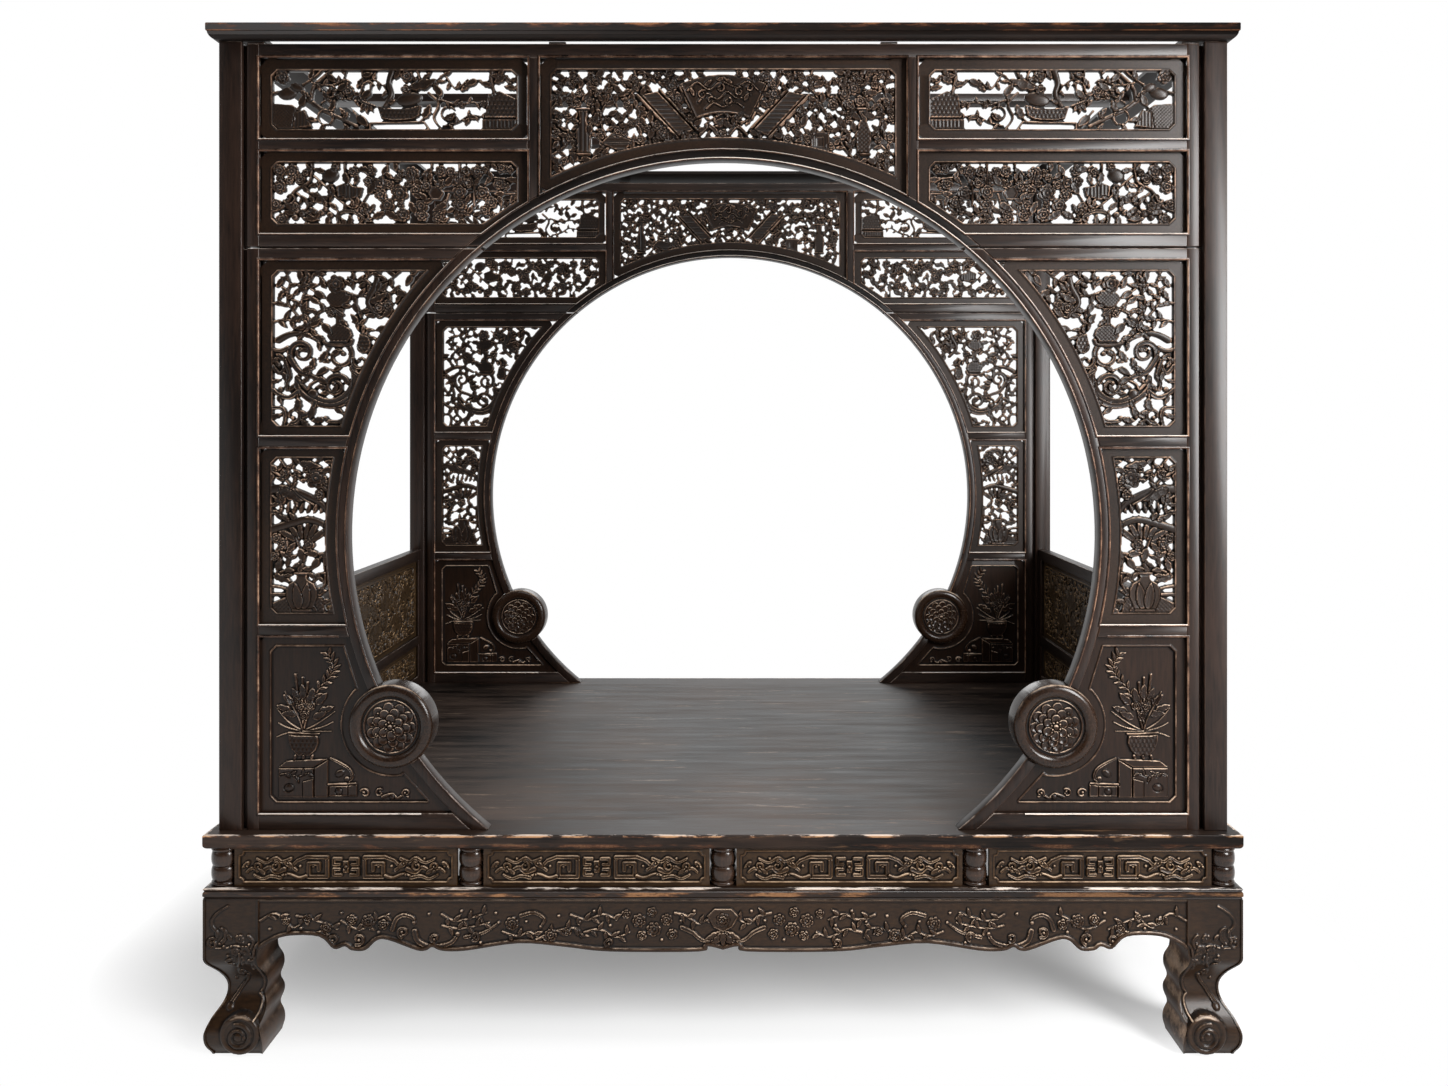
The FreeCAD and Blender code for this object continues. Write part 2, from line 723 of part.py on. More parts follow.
# a tongue along the head rail of each lower frame joins it to the transom, with a shadow gap between
join = grooveSlab(muntinOuter, sideRecess, headRailBottom + grooveDepth, transomBottom + grooveDepth)
headRail = screenRail(muntinOuter, sideRecess, headRailBottom, lowerTop, True, True, False)
headRail = headRail.fuse(join.cut(archDisc(fitGap))).removeSplitter()
sideRails = [
    headRail,
    screenRail(muntinOuter, sideRecess, upperRailBottom, upperRailTop, True, True, True),
    screenRail(muntinOuter, sideRecess, lowerRailBottom, lowerRailTop, True, True, True),
    screenRail(muntinOuter, sideRecess, deckTop, sillRailTop, True, False, True)]

# the side arch runs from the shadow gap to the roundel, the tail from the roundel to the deck
tenonAbove = ringTenon(1)
tenonBelow = ringTenon(-1)
lowerRing = ringPart(0, deckTop, lowerTop).cut(roundelDisc(fitGap))
sideRing = sorted(lowerRing.Solids, key=lambda solid: solid.BoundBox.ZMax)
gateTail = sideRing[0].fuse(tenonBelow).removeSplitter()
sideArch = sideRing[-1].fuse(tenonAbove).removeSplitter()
screen = {
    "transom_top_rail": [topRail],
    "transom_stiles": pair(screenStile(transomBottom, screenTop)),
    "transom_muntins": pair(muntin),
    "transom_rails": pair(midRail) + pair(lowRail),
    "crown_arch": [ringPart(-bedWidth, transomBottom, bedHeight)],
    "side_stiles": pair(screenStile(deckTop, lowerTop)),
    "side_rails": [piece for rail in sideRails for piece in pair(rail)],
    "side_arches": pair(sideArch),
    "gate_tails": pair(gateTail),
    "centre_panel": [centrePanel(6, 2)],
    "upper_panels": pair(panel("upper", 2, 1)),
    "shoulder_panels": pair(panel("shoulder", 2, 1)),
    "scroll_panels": pair(panel("scroll", 2, 2)),
    "vase_panels": pair(panel("vase", 3, 2)),
    "corner_panels": pair(panel("corner", 0, 0))}
rearShift = 2 * postY
for name, solids in screen.items():
    save("front_" + name, solids)
    save("rear_" + name, [moved(solid, 0, rearShift, 0) for solid in solids])
roundels = pair(roundelBody().cut([tenonAbove, tenonBelow]))
save("roundels", roundels + [moved(roundel, 0, rearShift, 0) for roundel in roundels])

# blocks between each screen and the cornice
spacers = []
for shift in (0, rearShift):
    for x in (-screenOuter + spacerLength / 2, -spacerOffset, spacerOffset, screenOuter - spacerLength / 2):
        half = spacerLength / 2
        spacers.append(box(x - half, x + half, screenFront + shift, screenBack + shift, screenTop, postTop))
save("canopy_spacers", spacers)

# railings, built for the right side between the posts
railHalf = postY - postSquare / 2
railInner = postX - railingThick / 2
railOuter = postX + railingThick / 2
panelInner = postX - panelThick / 2
panelOuter = postX + panelThick / 2
tongueInner = postX - screenTongueThick / 2
tongueOuter = postX + screenTongueThick / 2
stileInner = railHalf - railingStile
railingHead = railingTop - railingTopRail
railingSpans = ((deckTop, railingSillTop), (railingMidBottom, railingMidTop), (railingHead, railingTop))


def railingSlab(reach, z0, z1):
    return box(panelInner, panelOuter, -reach, reach, z0, z1)


def railingRail(z0, z1):
    body = box(railInner, railOuter, -stileInner, stileInner, z0, z1)
    rail = body.fuse(railingSlab(stileInner + grooveDepth, z0, z1))
    if z0 > deckTop:
        rail = rail.cut(railingSlab(railHalf, z0, z0 + grooveDepth))
    if z1 < railingTop:
        rail = rail.cut(railingSlab(railHalf, z1 - grooveDepth, z1))
    return rail.removeSplitter()


def railingPanel(z0, z1):
    grow = grooveDepth - fitGap
    return railingSlab(stileInner + grow, z0 - grow, z1 + grow)


def railingEnd():
    body = box(railInner, railOuter, stileInner, railHalf, deckTop, railingTop)
    tongue = box(tongueInner, tongueOuter, railHalf, railHalf + railingTongue, deckTop, railingTop)
    return body.fuse(tongue).cut(railingSlab(stileInner + grooveDepth, deckTop, railingTop)).removeSplitter()


railingStile = railingEnd()
sill, middle, top = [railingRail(z0, z1) for z0, z1 in railingSpans]
save("railing_sill_rails", pair(sill))
save("railing_middle_rails", pair(middle))
save("railing_top_rails", pair(top))
save("railing_stiles", pair(railingStile) + [turned(piece, halfTurn) for piece in pair(railingStile)])
save("railing_lower_panels", pair(railingPanel(railingSillTop, railingMidBottom)))
save("railing_upper_panels", pair(railingPanel(railingMidTop, railingHead)))

# grooves in the posts take the tongues of screens and railings
reach = railHalf + railingTongue
postGrooves = pair(box(tongueInner, tongueOuter, -reach, reach, deckTop, railingTop))
for shift in (0, rearShift):
    postGrooves += pair(box(screenOuter, screenOuter + screenTongue, tongueFront + shift, tongueBack + shift,
                            deckTop, screenTop))
for (endName, sideName), blank in posts.items():
    save("post_" + endName + "_" + sideName, [blank.cut(postGrooves).removeSplitter()])
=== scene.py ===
import json
import math

import bpy
import numpy as np
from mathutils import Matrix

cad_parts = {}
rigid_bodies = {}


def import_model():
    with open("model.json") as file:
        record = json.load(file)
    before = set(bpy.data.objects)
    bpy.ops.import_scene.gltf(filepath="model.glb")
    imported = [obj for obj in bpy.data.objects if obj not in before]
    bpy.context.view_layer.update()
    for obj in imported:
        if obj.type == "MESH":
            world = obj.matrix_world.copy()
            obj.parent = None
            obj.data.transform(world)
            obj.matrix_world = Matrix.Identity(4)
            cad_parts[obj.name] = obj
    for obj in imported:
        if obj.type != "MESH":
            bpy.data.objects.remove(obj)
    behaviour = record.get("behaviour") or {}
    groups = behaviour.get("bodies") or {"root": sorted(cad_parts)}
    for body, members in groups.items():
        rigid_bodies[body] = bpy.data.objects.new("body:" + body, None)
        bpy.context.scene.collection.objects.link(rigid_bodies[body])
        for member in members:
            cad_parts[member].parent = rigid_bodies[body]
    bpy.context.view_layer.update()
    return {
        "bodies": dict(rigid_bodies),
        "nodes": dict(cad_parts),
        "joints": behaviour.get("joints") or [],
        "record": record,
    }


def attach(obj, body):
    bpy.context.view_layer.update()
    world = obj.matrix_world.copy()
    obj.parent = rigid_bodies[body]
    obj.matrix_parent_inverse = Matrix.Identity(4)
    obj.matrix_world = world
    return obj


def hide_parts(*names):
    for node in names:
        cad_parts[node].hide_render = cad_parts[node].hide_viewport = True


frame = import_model()
nodes = frame["nodes"]
mm = 0.001  # everything below is drawn in millimetres
scene = bpy.context.scene


# camera stands in front of the gate, a little right of its middle, and looks level
photo = {"width": 1448, "height": 1086, "focalPixels": 1146.6, "axisPixel": (742, 426),
         "eye": (40, -3150, 1323), "sensor": 36}


def setCamera():
    lens = bpy.data.cameras.new("camera")
    lens.sensor_fit = "HORIZONTAL"
    lens.sensor_width = photo["sensor"]
    lens.lens = photo["focalPixels"] / photo["width"] * photo["sensor"]
    lens.shift_x = (photo["width"] / 2 - photo["axisPixel"][0]) / photo["width"]
    lens.shift_y = (photo["axisPixel"][1] - photo["height"] / 2) / photo["width"]
    lens.clip_end = 200
    camera = bpy.data.objects.new("camera", lens)
    camera.location = [value * mm for value in photo["eye"]]
    camera.rotation_euler = (math.pi / 2, 0, 0)
    scene.collection.objects.link(camera)
    scene.camera = camera


setCamera()
scene.view_settings.view_transform = "Standard"
print("camera set")


# shader sums written as plain expressions
class Wire:
    def __init__(self, board, socket):
        self.board = board
        self.socket = socket

    def __getitem__(self, name):
        return Wire(self.board, self.socket.node.outputs[name])

    def maths(self, operation, first, second):
        return self.board.node("ShaderNodeMath", {"operation": operation}, {0: first, 1: second})

    def __add__(self, other):
        return self.maths("ADD", self, other)

    def __radd__(self, other):
        return self.maths("ADD", other, self)

    def __sub__(self, other):
        return self.maths("SUBTRACT", self, other)

    def __rsub__(self, other):
        return self.maths("SUBTRACT", other, self)

    def __mul__(self, other):
        return self.maths("MULTIPLY", self, other)

    def __rmul__(self, other):
        return self.maths("MULTIPLY", other, self)

    def __pow__(self, other):
        return self.maths("POWER", self, other)


class Board:
    def __init__(self, tree):
        self.tree = tree
        tree.nodes.clear()

    def node(self, kind, settings=None, sockets=None):
        made = self.tree.nodes.new(kind)
        for key, value in (settings or {}).items():
            setattr(made, key, value)
        for key, value in (sockets or {}).items():
            if isinstance(value, Wire):
                self.tree.links.new(value.socket, made.inputs[key])
            else:
                made.inputs[key].default_value = value
        return Wire(self, made.outputs[0]) if made.outputs else made

    def blend(self, share, first, second):
        return self.node("ShaderNodeMix", {"data_type": "RGBA"}, {0: share, 6: first, 7: second})[2]

    def scaled(self, place, scale):
        return self.node("ShaderNodeVectorMath", {"operation": "MULTIPLY"}, {0: place, 1: scale})

    def larger(self, first, second):
        return self.node("ShaderNodeMath", {"operation": "MAXIMUM"}, {0: first, 1: second})

    def noise(self, place, scale, detail=4.0, roughness=0.55):
        return self.node("ShaderNodeTexNoise", {}, {
            "Vector": place, "Scale": scale, "Detail": detail, "Roughness": roughness})

    def span(self, value, low, high, outLow=0.0, outHigh=1.0):
        return self.node("ShaderNodeMapRange", {}, {
            0: value, 1: low, 2: high, 3: outLow, 4: outHigh})


def linear(code):
    parts = [int(code[at:at + 2], 16) / 255 for at in (1, 3, 5)]
    return [part / 12.92 if part <= 0.04045 else ((part + 0.055) / 1.055) ** 2.4 for part in parts] + [1.0]


# white studio: the background is white to the eye and in gloss, the light itself stays plain and soft
studio = {"ambient": 0.145, "behindCamera": 0.03, "floorRadius": 14.0, "floorShade": 0.86, "floorLift": 0.27,
          "shadowHalfX": 0.90, "shadowFrontY": 0.22, "shadowRearY": 1.0, "squashX": 0.85, "fade": 0.56,
          "fadePower": 2.6}
lamps = {
    "lampTop": {"at": (0.0, -1.9, 4.8), "aim": (0, -0.2, 0.9), "size": (3.0, 1.2), "power": 60},
    "lampRight": {"at": (2.7, -3.0, 2.3), "aim": (0.7, -0.7, 0.9), "size": (1.1, 2.0), "power": 215},
    "lampLeft": {"at": (-4.4, -2.4, 2.6), "aim": (-0.4, 0, 1.0), "size": (1.0, 2.4), "power": 12},
    "lampRear": {"at": (0.4, 4.6, 3.2), "aim": (0, 0, 0.9), "size": (3.0, 1.6), "power": 50}}


def setWorld():
    world = bpy.data.worlds.new("studio")
    scene.world = world
    world.use_nodes = True
    board = Board(world.node_tree)
    path = board.node("ShaderNodeLightPath")
    direction = board.node("ShaderNodeTexCoord")["Generated"]
    parts = board.node("ShaderNodeSeparateXYZ", {}, {0: direction})
    behind = board.span(parts["Y"], -0.35, 0.55)
    glossy = studio["behindCamera"] + behind * (1 - studio["behindCamera"])
    seen = board.larger(path["Is Camera Ray"], path["Is Transmission Ray"])
    lit = path["Is Glossy Ray"] * glossy + (1 - path["Is Glossy Ray"]) * studio["ambient"]
    strength = seen + (1 - seen) * lit
    light = board.node("ShaderNodeBackground", {}, {"Color": (1, 1, 1, 1), "Strength": strength})
    board.node("ShaderNodeOutputWorld", {}, {"Surface": light})


def aimed(place, target):
    away = np.array(target, float) - np.array(place, float)
    flat = math.hypot(away[0], away[1])
    return math.pi / 2 + math.atan2(away[2], flat), 0.0, math.atan2(away[1], away[0]) - math.pi / 2


def setLamps():
    for name, lamp in lamps.items():
        light = bpy.data.lights.new(name, "AREA")
        light.shape = "RECTANGLE"
        light.size, light.size_y = lamp["size"]
        light.energy = lamp["power"]
        made = bpy.data.objects.new(name, light)
        made.location = lamp["at"]
        made.rotation_euler = aimed(lamp["at"], lamp["aim"])
        scene.collection.objects.link(made)


def floorPaint():
    material = bpy.data.materials.new("whiteFloor")
    material.use_nodes = True
    board = Board(material.node_tree)
    place = board.node("ShaderNodeTexCoord")["Object"]
    parts = board.node("ShaderNodeSeparateXYZ", {}, {0: place})
    across = board.node("ShaderNodeMath", {"operation": "ABSOLUTE"}, {0: parts["X"]}) - studio["shadowHalfX"]
    across = board.larger(across * studio["squashX"], 0.0)
    before = board.larger(-1.0 * parts["Y"] - studio["shadowFrontY"], 0.0)
    beyond = board.larger(parts["Y"] - studio["shadowRearY"], 0.0)
    away = (across * across + before * before + beyond * beyond) ** 0.5
    far = board.span(away, 0.0, studio["fade"]) ** studio["fadePower"]
    path = board.node("ShaderNodeLightPath")
    shade = studio["floorShade"]
    diffuse = board.node("ShaderNodeBsdfDiffuse", {}, {"Color": (shade, shade, shade, 1)})
    strength = path["Is Camera Ray"] * studio["floorLift"]
    lift = board.node("ShaderNodeEmission", {}, {"Color": (1, 1, 1, 1), "Strength": strength})
    near = board.node("ShaderNodeAddShader", {}, {0: diffuse, 1: lift})
    white = board.node("ShaderNodeEmission", {}, {"Color": (1, 1, 1, 1), "Strength": 1.0})
    toEye = board.larger(path["Is Camera Ray"], path["Is Glossy Ray"])
    mixed = board.node("ShaderNodeMixShader", {}, {0: far * toEye, 1: near, 2: white})
    board.node("ShaderNodeOutputMaterial", {}, {"Surface": mixed})
    return material


def setFloor():
    count = 64
    mesh = bpy.data.meshes.new("floor")
    ring = [(studio["floorRadius"] * math.cos(2 * math.pi * at / count),
             studio["floorRadius"] * math.sin(2 * math.pi * at / count), 0) for at in range(count)]
    mesh.from_pydata(ring, [], [list(range(count))])
    mesh.materials.append(floorPaint())
    floor = bpy.data.objects.new("floor", mesh)
    scene.collection.objects.link(floor)


setWorld()
setLamps()
setFloor()
print("studio set")


# lacquer over wood; wear 1 on a vertex means an arris or a high spot of the carving, below 0 a hollow that
# gets painted shade
finishes = {
    "frameAcross": {"along": (3, 40, 40), "dark": "#16100e", "thin": "#33241c", "tan": "#a97a5a",
                    "rubbed": "#5a3624", "gloss": 0.30, "wear": 0.55, "grain": 0.10},
    # crown arch: the frame lacquer painted darker, as painted shade
    "frameRingShade": {"along": (3, 40, 40), "dark": "#0a0706", "thin": "#1b130f", "tan": "#a97a5a",
                  "rubbed": "#4a2d1f", "gloss": 0.30, "wear": 0.55, "grain": 0.10, "ior": 1.34},
    "cornice": {"along": (4, 50, 50), "dark": "#0e0907", "thin": "#20150f", "tan": "#8c5c3a",
                "rubbed": "#4a2b1a", "gloss": 0.42, "wear": 0.78, "grain": 0.2, "ior": 1.3, "coat": 0.0,
                "patch": (0.3, 1.6, 1.6)},
    "frameUp": {"along": (40, 40, 3), "dark": "#150e0b", "thin": "#32221a", "tan": "#a97a5a",
                "rubbed": "#5a3624", "gloss": 0.30, "wear": 0.55, "grain": 0.10, "ior": 1.36},
    "frameDeep": {"along": (40, 3, 40), "dark": "#18110e", "thin": "#33241b", "tan": "#a97a5a",
                  "rubbed": "#5a3624", "gloss": 0.33, "wear": 0.5, "grain": 0.12},
    # eased arrises: rubbed, with a painted highlight on faces turned up
    "frameEdge": {"along": (20, 20, 20), "dark": "#221813", "thin": "#3f2d23", "tan": "#b08a6c",
                  "rubbed": "#63432f", "gloss": 0.2, "wear": 0.62, "grain": 0.06, "worn": 0.5, "pale": 0.7,
                  "shaded": 0.55},
    # beads: a strong painted highlight on faces turned up
    "bead": {"along": (16, 16, 16), "dark": "#15100d", "thin": "#2c1f18", "tan": "#c4a084",
             "rubbed": "#664634", "gloss": 0.16, "wear": 0.85, "grain": 0.05, "pale": 1.3, "shaded": 0.62},
    "carved": {"along": (40, 40, 40), "dark": "#18100b", "thin": "#302015", "tan": "#a88670",
               "rubbed": "#463224", "gloss": 0.3, "wear": 0.86, "grain": 0.14, "pale": 0.4, "shaded": 0.55,
               "sheen": "#d8c0a8", "ior": 1.35},
    "carvedSolid": {"along": (40, 40, 4), "dark": "#170e09", "thin": "#2e1d13", "tan": "#b6967e",
                    "rubbed": "#4a3425", "gloss": 0.25, "wear": 0.82, "grain": 0.1, "pale": 0.6,
                    "shaded": 0.52, "sheen": "#d8c0a8", "ior": 1.34},
    "roundel": {"along": (30, 30, 30), "dark": "#1d130d", "thin": "#382519", "tan": "#ae907a",
                "rubbed": "#483225", "gloss": 0.17, "wear": 0.72, "grain": 0.08, "pale": 0.7, "shaded": 0.5,
                "sheen": "#d8c0a8"},
    "baluster": {"along": (40, 40, 14), "dark": "#211712", "thin": "#3c2a1f", "tan": "#a3805f",
                 "rubbed": "#4a3020", "gloss": 0.14, "wear": 0.45, "grain": 0.08, "coat": 0.3},
    "baseCarved": {"along": (10, 30, 30), "dark": "#1f140c", "thin": "#3a2717", "tan": "#b89a80",
                   "rubbed": "#4c3627", "gloss": 0.23, "wear": 0.74, "grain": 0.12, "pale": 0.55,
                   "shaded": 0.5, "ior": 1.33, "sheen": "#d8c0a8", "coat": 0.04},
    "waistCarved": {"along": (14, 30, 30), "dark": "#25180d", "thin": "#432f1b", "tan": "#a98c6c",
                    "rubbed": "#5a4029", "gloss": 0.26, "wear": 0.7, "grain": 0.14, "pale": 0.45,
                    "shaded": 0.5, "ior": 1.32, "sheen": "#d8c0a8", "coat": 0.03},
    "railingCarved": {"along": (30, 14, 30), "dark": "#2b2014", "thin": "#493620", "tan": "#96774c",
                      "rubbed": "#553e26", "gloss": 0.3, "wear": 0.88, "grain": 0.14, "pale": 0.4,
                      "shaded": 0.45, "ior": 1.32, "sheen": "#d8b28a"},
    "deck": {"along": (0.5, 5, 5), "dark": "#0b0807", "thin": "#55473f", "tan": "#a08a76",
             "rubbed": "#3a2c25", "gloss": 0.2, "wear": 0.3, "grain": 1.6, "ior": 1.28, "coat": 0.0,
             "streak": 0.5, "scratch": 0.85},
    "ledge": {"along": (5, 60, 40), "dark": "#160f0c", "thin": "#2c1e15", "tan": "#a87a52",
              "rubbed": "#57371f", "gloss": 0.24, "wear": 0.8, "grain": 0.16, "pale": 0.7,
              "patch": (0.3, 1.6, 1.6)},
    "deckEdge": {"along": (1.5, 30, 30), "dark": "#100b09", "thin": "#3a2c24", "tan": "#b08560",
                 "rubbed": "#523322", "gloss": 0.24, "wear": 0.95, "grain": 0.14, "ior": 1.28, "coat": 0.0,
                 "pale": 0.5, "streak": 0.3, "scratch": 0.4, "patch": (0.4, 1.6, 1.6)},
    "rawWood": {"along": (60, 5, 60), "dark": "#4f3a28", "thin": "#6b503a", "tan": "#8a6b4e",
                "rubbed": "#5b4330", "gloss": 0.6, "wear": 0.3, "grain": 0.4}}
# colour of the painted shade in hollows
hollowShadeColour = linear("#070505")


def lacquer(name):
    finish = finishes[name]
    material = bpy.data.materials.new(name)
    material.use_nodes = True
    board = Board(material.node_tree)
    place = board.node("ShaderNodeTexCoord")["Object"]
    stretched = board.scaled(place, finish["along"])
    grain = board.noise(stretched, 6.0, 6.0, 0.62)
    clouds = board.noise(place, 3.1, 3.0, 0.5)
    patches = board.noise(board.scaled(place, finish.get("patch", (1, 1, 1))), 26.0, 5.0, 0.68)
    specks = board.noise(place, 160.0, 3.0, 0.6)
    wear = board.node("ShaderNodeAttribute", {"attribute_name": "wear"})["Fac"] + finish.get("worn", 0.0)
    body = board.blend(board.span(grain * 0.55 + clouds * 0.5, 0.42, 0.72), linear(finish["dark"]),
                       linear(finish["thin"]))
    facing = board.node("ShaderNodeSeparateXYZ", {}, {0: board.node("ShaderNodeNewGeometry")["Normal"]})
    # painted light: faces turned up or toward -X count as lit and show their rubbed and bare colours fully,
    # faces turned away keep only the finish's shaded share of them
    upper = board.span(facing["Z"] - facing["X"] * 0.35, 0.02, 0.6)
    uneven = (0.44, 0.58, 0.05, 1.5) if "patch" in finish else (0.3, 0.62, 0.35, 1.25)
    wearAndLitSide = wear * finish["wear"] * board.span(patches, *uneven)
    if "shaded" in finish:
        wearAndLitSide = wearAndLitSide * (finish["shaded"] + upper * (1 - finish["shaded"]))
    rubbed = board.span(wearAndLitSide, 0.16, 0.5)
    # painted shade: where the wear falls below 0, in hollows of the carving, the colour darkens and the gloss
    # dulls
    paintedHollowShade = board.span(wear * -1.0, 0.0, 0.6)
    bare = board.span(wearAndLitSide + specks * 0.3, 0.55, 0.95)
    chips = board.span(patches * 0.75 + specks * 0.32, 0.755, 0.785) * 0.4
    brown = board.blend(rubbed, body, linear(finish["rubbed"]))
    colour = board.blend(bare, brown, linear(finish["tan"]))
    colour = board.blend(chips, colour, linear(finish["rubbed"]))
    colour = board.blend(paintedHollowShade * 0.85, colour, hollowShadeColour)
    # painted highlight: worn faces turned up are lightened toward the sheen colour, by the finish's painted
    # highlight share
    if "pale" in finish:
        paintedHighlightMask = board.span(facing["Z"], 0.2, 0.7) * board.span(wearAndLitSide, 0.2, 0.5) * finish["pale"]
        colour = board.blend(paintedHighlightMask, colour, linear(finish.get("sheen", "#ede4da")))
    if "scratch" in finish:
        lines = board.noise(board.scaled(place, (1.3, 11, 11)), 4.0, 6.0, 0.72)
        colour = board.blend(board.span(lines, 0.6, 0.74) * finish["scratch"], colour, linear(finish["tan"]))
    roughness = finish["gloss"] + clouds * 0.08 + grain * finish.get("streak", 0.1)
    roughness = roughness + rubbed * 0.12 + paintedHollowShade * 0.25
    relief = grain * finish["grain"] + specks * 0.1
    bump = board.node("ShaderNodeBump", {}, {
        "Strength": 0.35, "Distance": 0.002 if "scratch" in finish else 0.0006, "Height": relief})
    shader = board.node("ShaderNodeBsdfPrincipled", {}, {
        "Base Color": colour, "Roughness": roughness, "Normal": bump, "IOR": finish.get("ior", 1.38),
        "Coat Weight": finish.get("coat", 0.07), "Coat Roughness": 0.18, "Coat IOR": 1.4})
    board.node("ShaderNodeOutputMaterial", {}, {"Surface": shader})
    return material


paints = {name: lacquer(name) for name in finishes}
print("finishes mixed", len(paints))


# meshes from arrays: points in millimetres, faces as arrays of equal length rows
def makePiece(name, points, faceSets, paint, wear, stands=(), sharp=40):
    mesh = bpy.data.meshes.new(name)
    faceSets = [np.asarray(faces, np.int32) for faces in faceSets if len(faces)]
    corners = np.concatenate([faces.ravel() for faces in faceSets])
    sizes = np.concatenate([np.full(len(faces), faces.shape[1], np.int32) for faces in faceSets])
    mesh.vertices.add(len(points))
    mesh.vertices.foreach_set("co", (np.asarray(points, float) * mm).astype(np.float32).ravel())
    mesh.loops.add(len(corners))
    mesh.loops.foreach_set("vertex_index", corners)
    mesh.polygons.add(len(sizes))
    mesh.polygons.foreach_set("loop_start", np.concatenate([[0], np.cumsum(sizes)[:-1]]).astype(np.int32))
    mesh.update(calc_edges=True)
    mesh.validate()
    mesh.polygons.foreach_set("use_smooth", np.ones(len(mesh.polygons), bool))
    mesh.set_sharp_from_angle(angle=math.radians(sharp))
    layer = mesh.attributes.new("wear", "FLOAT", "POINT")
    layer.data.foreach_set("value", np.asarray(wear, np.float32))
    mesh.materials.append(paints[paint])
    piece = bpy.data.objects.new(name, mesh)
    scene.collection.objects.link(piece)
    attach(piece, "root")
    if stands:
        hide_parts(*stands)


def turned(points, quarter):
    for _ in range(quarter % 4):
        points = np.stack([-points[:, 1], points[:, 0], points[:, 2]], 1)
    return points


def mirrored(points, faceSets):
    return points * (-1, 1, 1), [np.asarray(faces)[:, ::-1] for faces in faceSets]


# several bodies in one mesh
def merged(parts):
    points, wear, faceSets, start = [], [], [], 0
    for partPoints, partFaces, partWear in parts:
        points.append(partPoints)
        wear.append(partWear)
        faceSets += [np.asarray(faces) + start for faces in partFaces if len(faces)]
        start += len(partPoints)
    return np.concatenate(points), faceSets, np.concatenate(wear)


# a plain solid with its arrises eased, and the eased strips in their own rubbed finish with a painted
# highlight where they face up
easing = {"width": 1.6, "roundWidth": 2.6, "steps": 2, "angle": 32}


def easedPiece(node, paint, width=easing["width"]):
    name = node.replace("_", "-") + "-eased"
    mesh = nodes[node].data.copy()
    mesh.name = name
    mesh.materials.clear()
    mesh.materials.append(paints[paint])
    mesh.materials.append(paints["frameEdge"])
    mesh.polygons.foreach_set("material_index", np.zeros(len(mesh.polygons), np.int32))
    mesh.polygons.foreach_set("use_smooth", np.ones(len(mesh.polygons), bool))
    piece = bpy.data.objects.new(name, mesh)
    scene.collection.objects.link(piece)
    weld = piece.modifiers.new("weld", "WELD")
    weld.merge_threshold = 0.00001
    bevel = piece.modifiers.new("easing", "BEVEL")
    bevel.width = width * mm
    bevel.segments = easing["steps"]
    bevel.limit_method = "ANGLE"
    bevel.angle_limit = math.radians(easing["angle"])
    bevel.harden_normals = True
    bevel.material = 1
    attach(piece, "root")
    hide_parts(node)


# mould swept along a path in the plane of a screen; profile rows are (across, out, wear)
def sweepPath(path, profile, closed):
    path = np.asarray(path, float)
    count = len(path)
    ahead = np.roll(path, -1, 0) - path
    behind = path - np.roll(path, 1, 0)
    if not closed:
        ahead[-1] = behind[-1]
        behind[0] = ahead[0]
    ahead /= np.linalg.norm(ahead, axis=1)[:, None]
    behind /= np.linalg.norm(behind, axis=1)[:, None]
    normal = np.stack([-(ahead + behind)[:, 1], (ahead + behind)[:, 0]], 1)
    normal /= np.linalg.norm(normal, axis=1)[:, None]
    stretch = 1 / np.clip((normal * np.stack([-ahead[:, 1], ahead[:, 0]], 1)).sum(1), 0.3, 1)
    rows = len(profile)
    points = np.zeros((count, rows, 3))
    wear = np.zeros((count, rows))
    for at, (across, out, rub) in enumerate(profile):
        place = path + normal * (across * stretch)[:, None]
        points[:, at, 0] = place[:, 0]
        points[:, at, 1] = -out
        points[:, at, 2] = place[:, 1]
        wear[:, at] = rub
    index = np.arange(count * rows).reshape(count, rows)
    ends = count if closed else count - 1
    faces = []
    for at in range(ends):
        following = (at + 1) % count
        for row in range(rows - 1):
            faces.append((index[at, row], index[following, row], index[following, row + 1],
                          index[at, row + 1]))
    return points.reshape(-1, 3), [np.array(faces)], wear.ravel()


def arcPoints(cx, cz, radius, start, end, step=2.5):
    count = max(3, int(abs(end - start) / step) + 1)
    angles = np.radians(np.linspace(start, end, count))
    return [(cx + radius * math.cos(a), cz + radius * math.sin(a)) for a in angles]


# heights and places of the screens, as in the frame
gate = {"height": 1090.0, "inner": 798.0, "outer": 822.0, "front": -718.0, "middle": -701.0,
        "rearShift": 1396.0, "stile": 985.0, "muntinInner": 389.0, "muntinOuter": 415.0, "roundelX": 704.5,
        "roundelZ": 686.6}
bead = {"half": 2.6, "rise": 2.2, "back": 1.5, "inset": 2.4}


def beadProfile():
    half = bead["half"]
    rows = [(-half, -bead["back"], 0.2)]
    for degrees in (165, 140, 115, 90, 65, 40, 15):
        angle = math.radians(degrees)
        toward = 0.5 + 0.5 * math.cos(angle)
        rows.append((half * math.cos(angle), bead["rise"] * math.sin(angle), 0.15 + 0.85 * toward))
    rows.append((half, -bead["back"], 0.7))
    return rows


# bead loops round the openings, drawn on the right half and mirrored
def archX(z, radius):
    return math.sqrt(radius ** 2 - (z - gate["height"]) ** 2)


def archAngle(z, radius):
    return math.degrees(math.asin((z - gate["height"]) / radius))


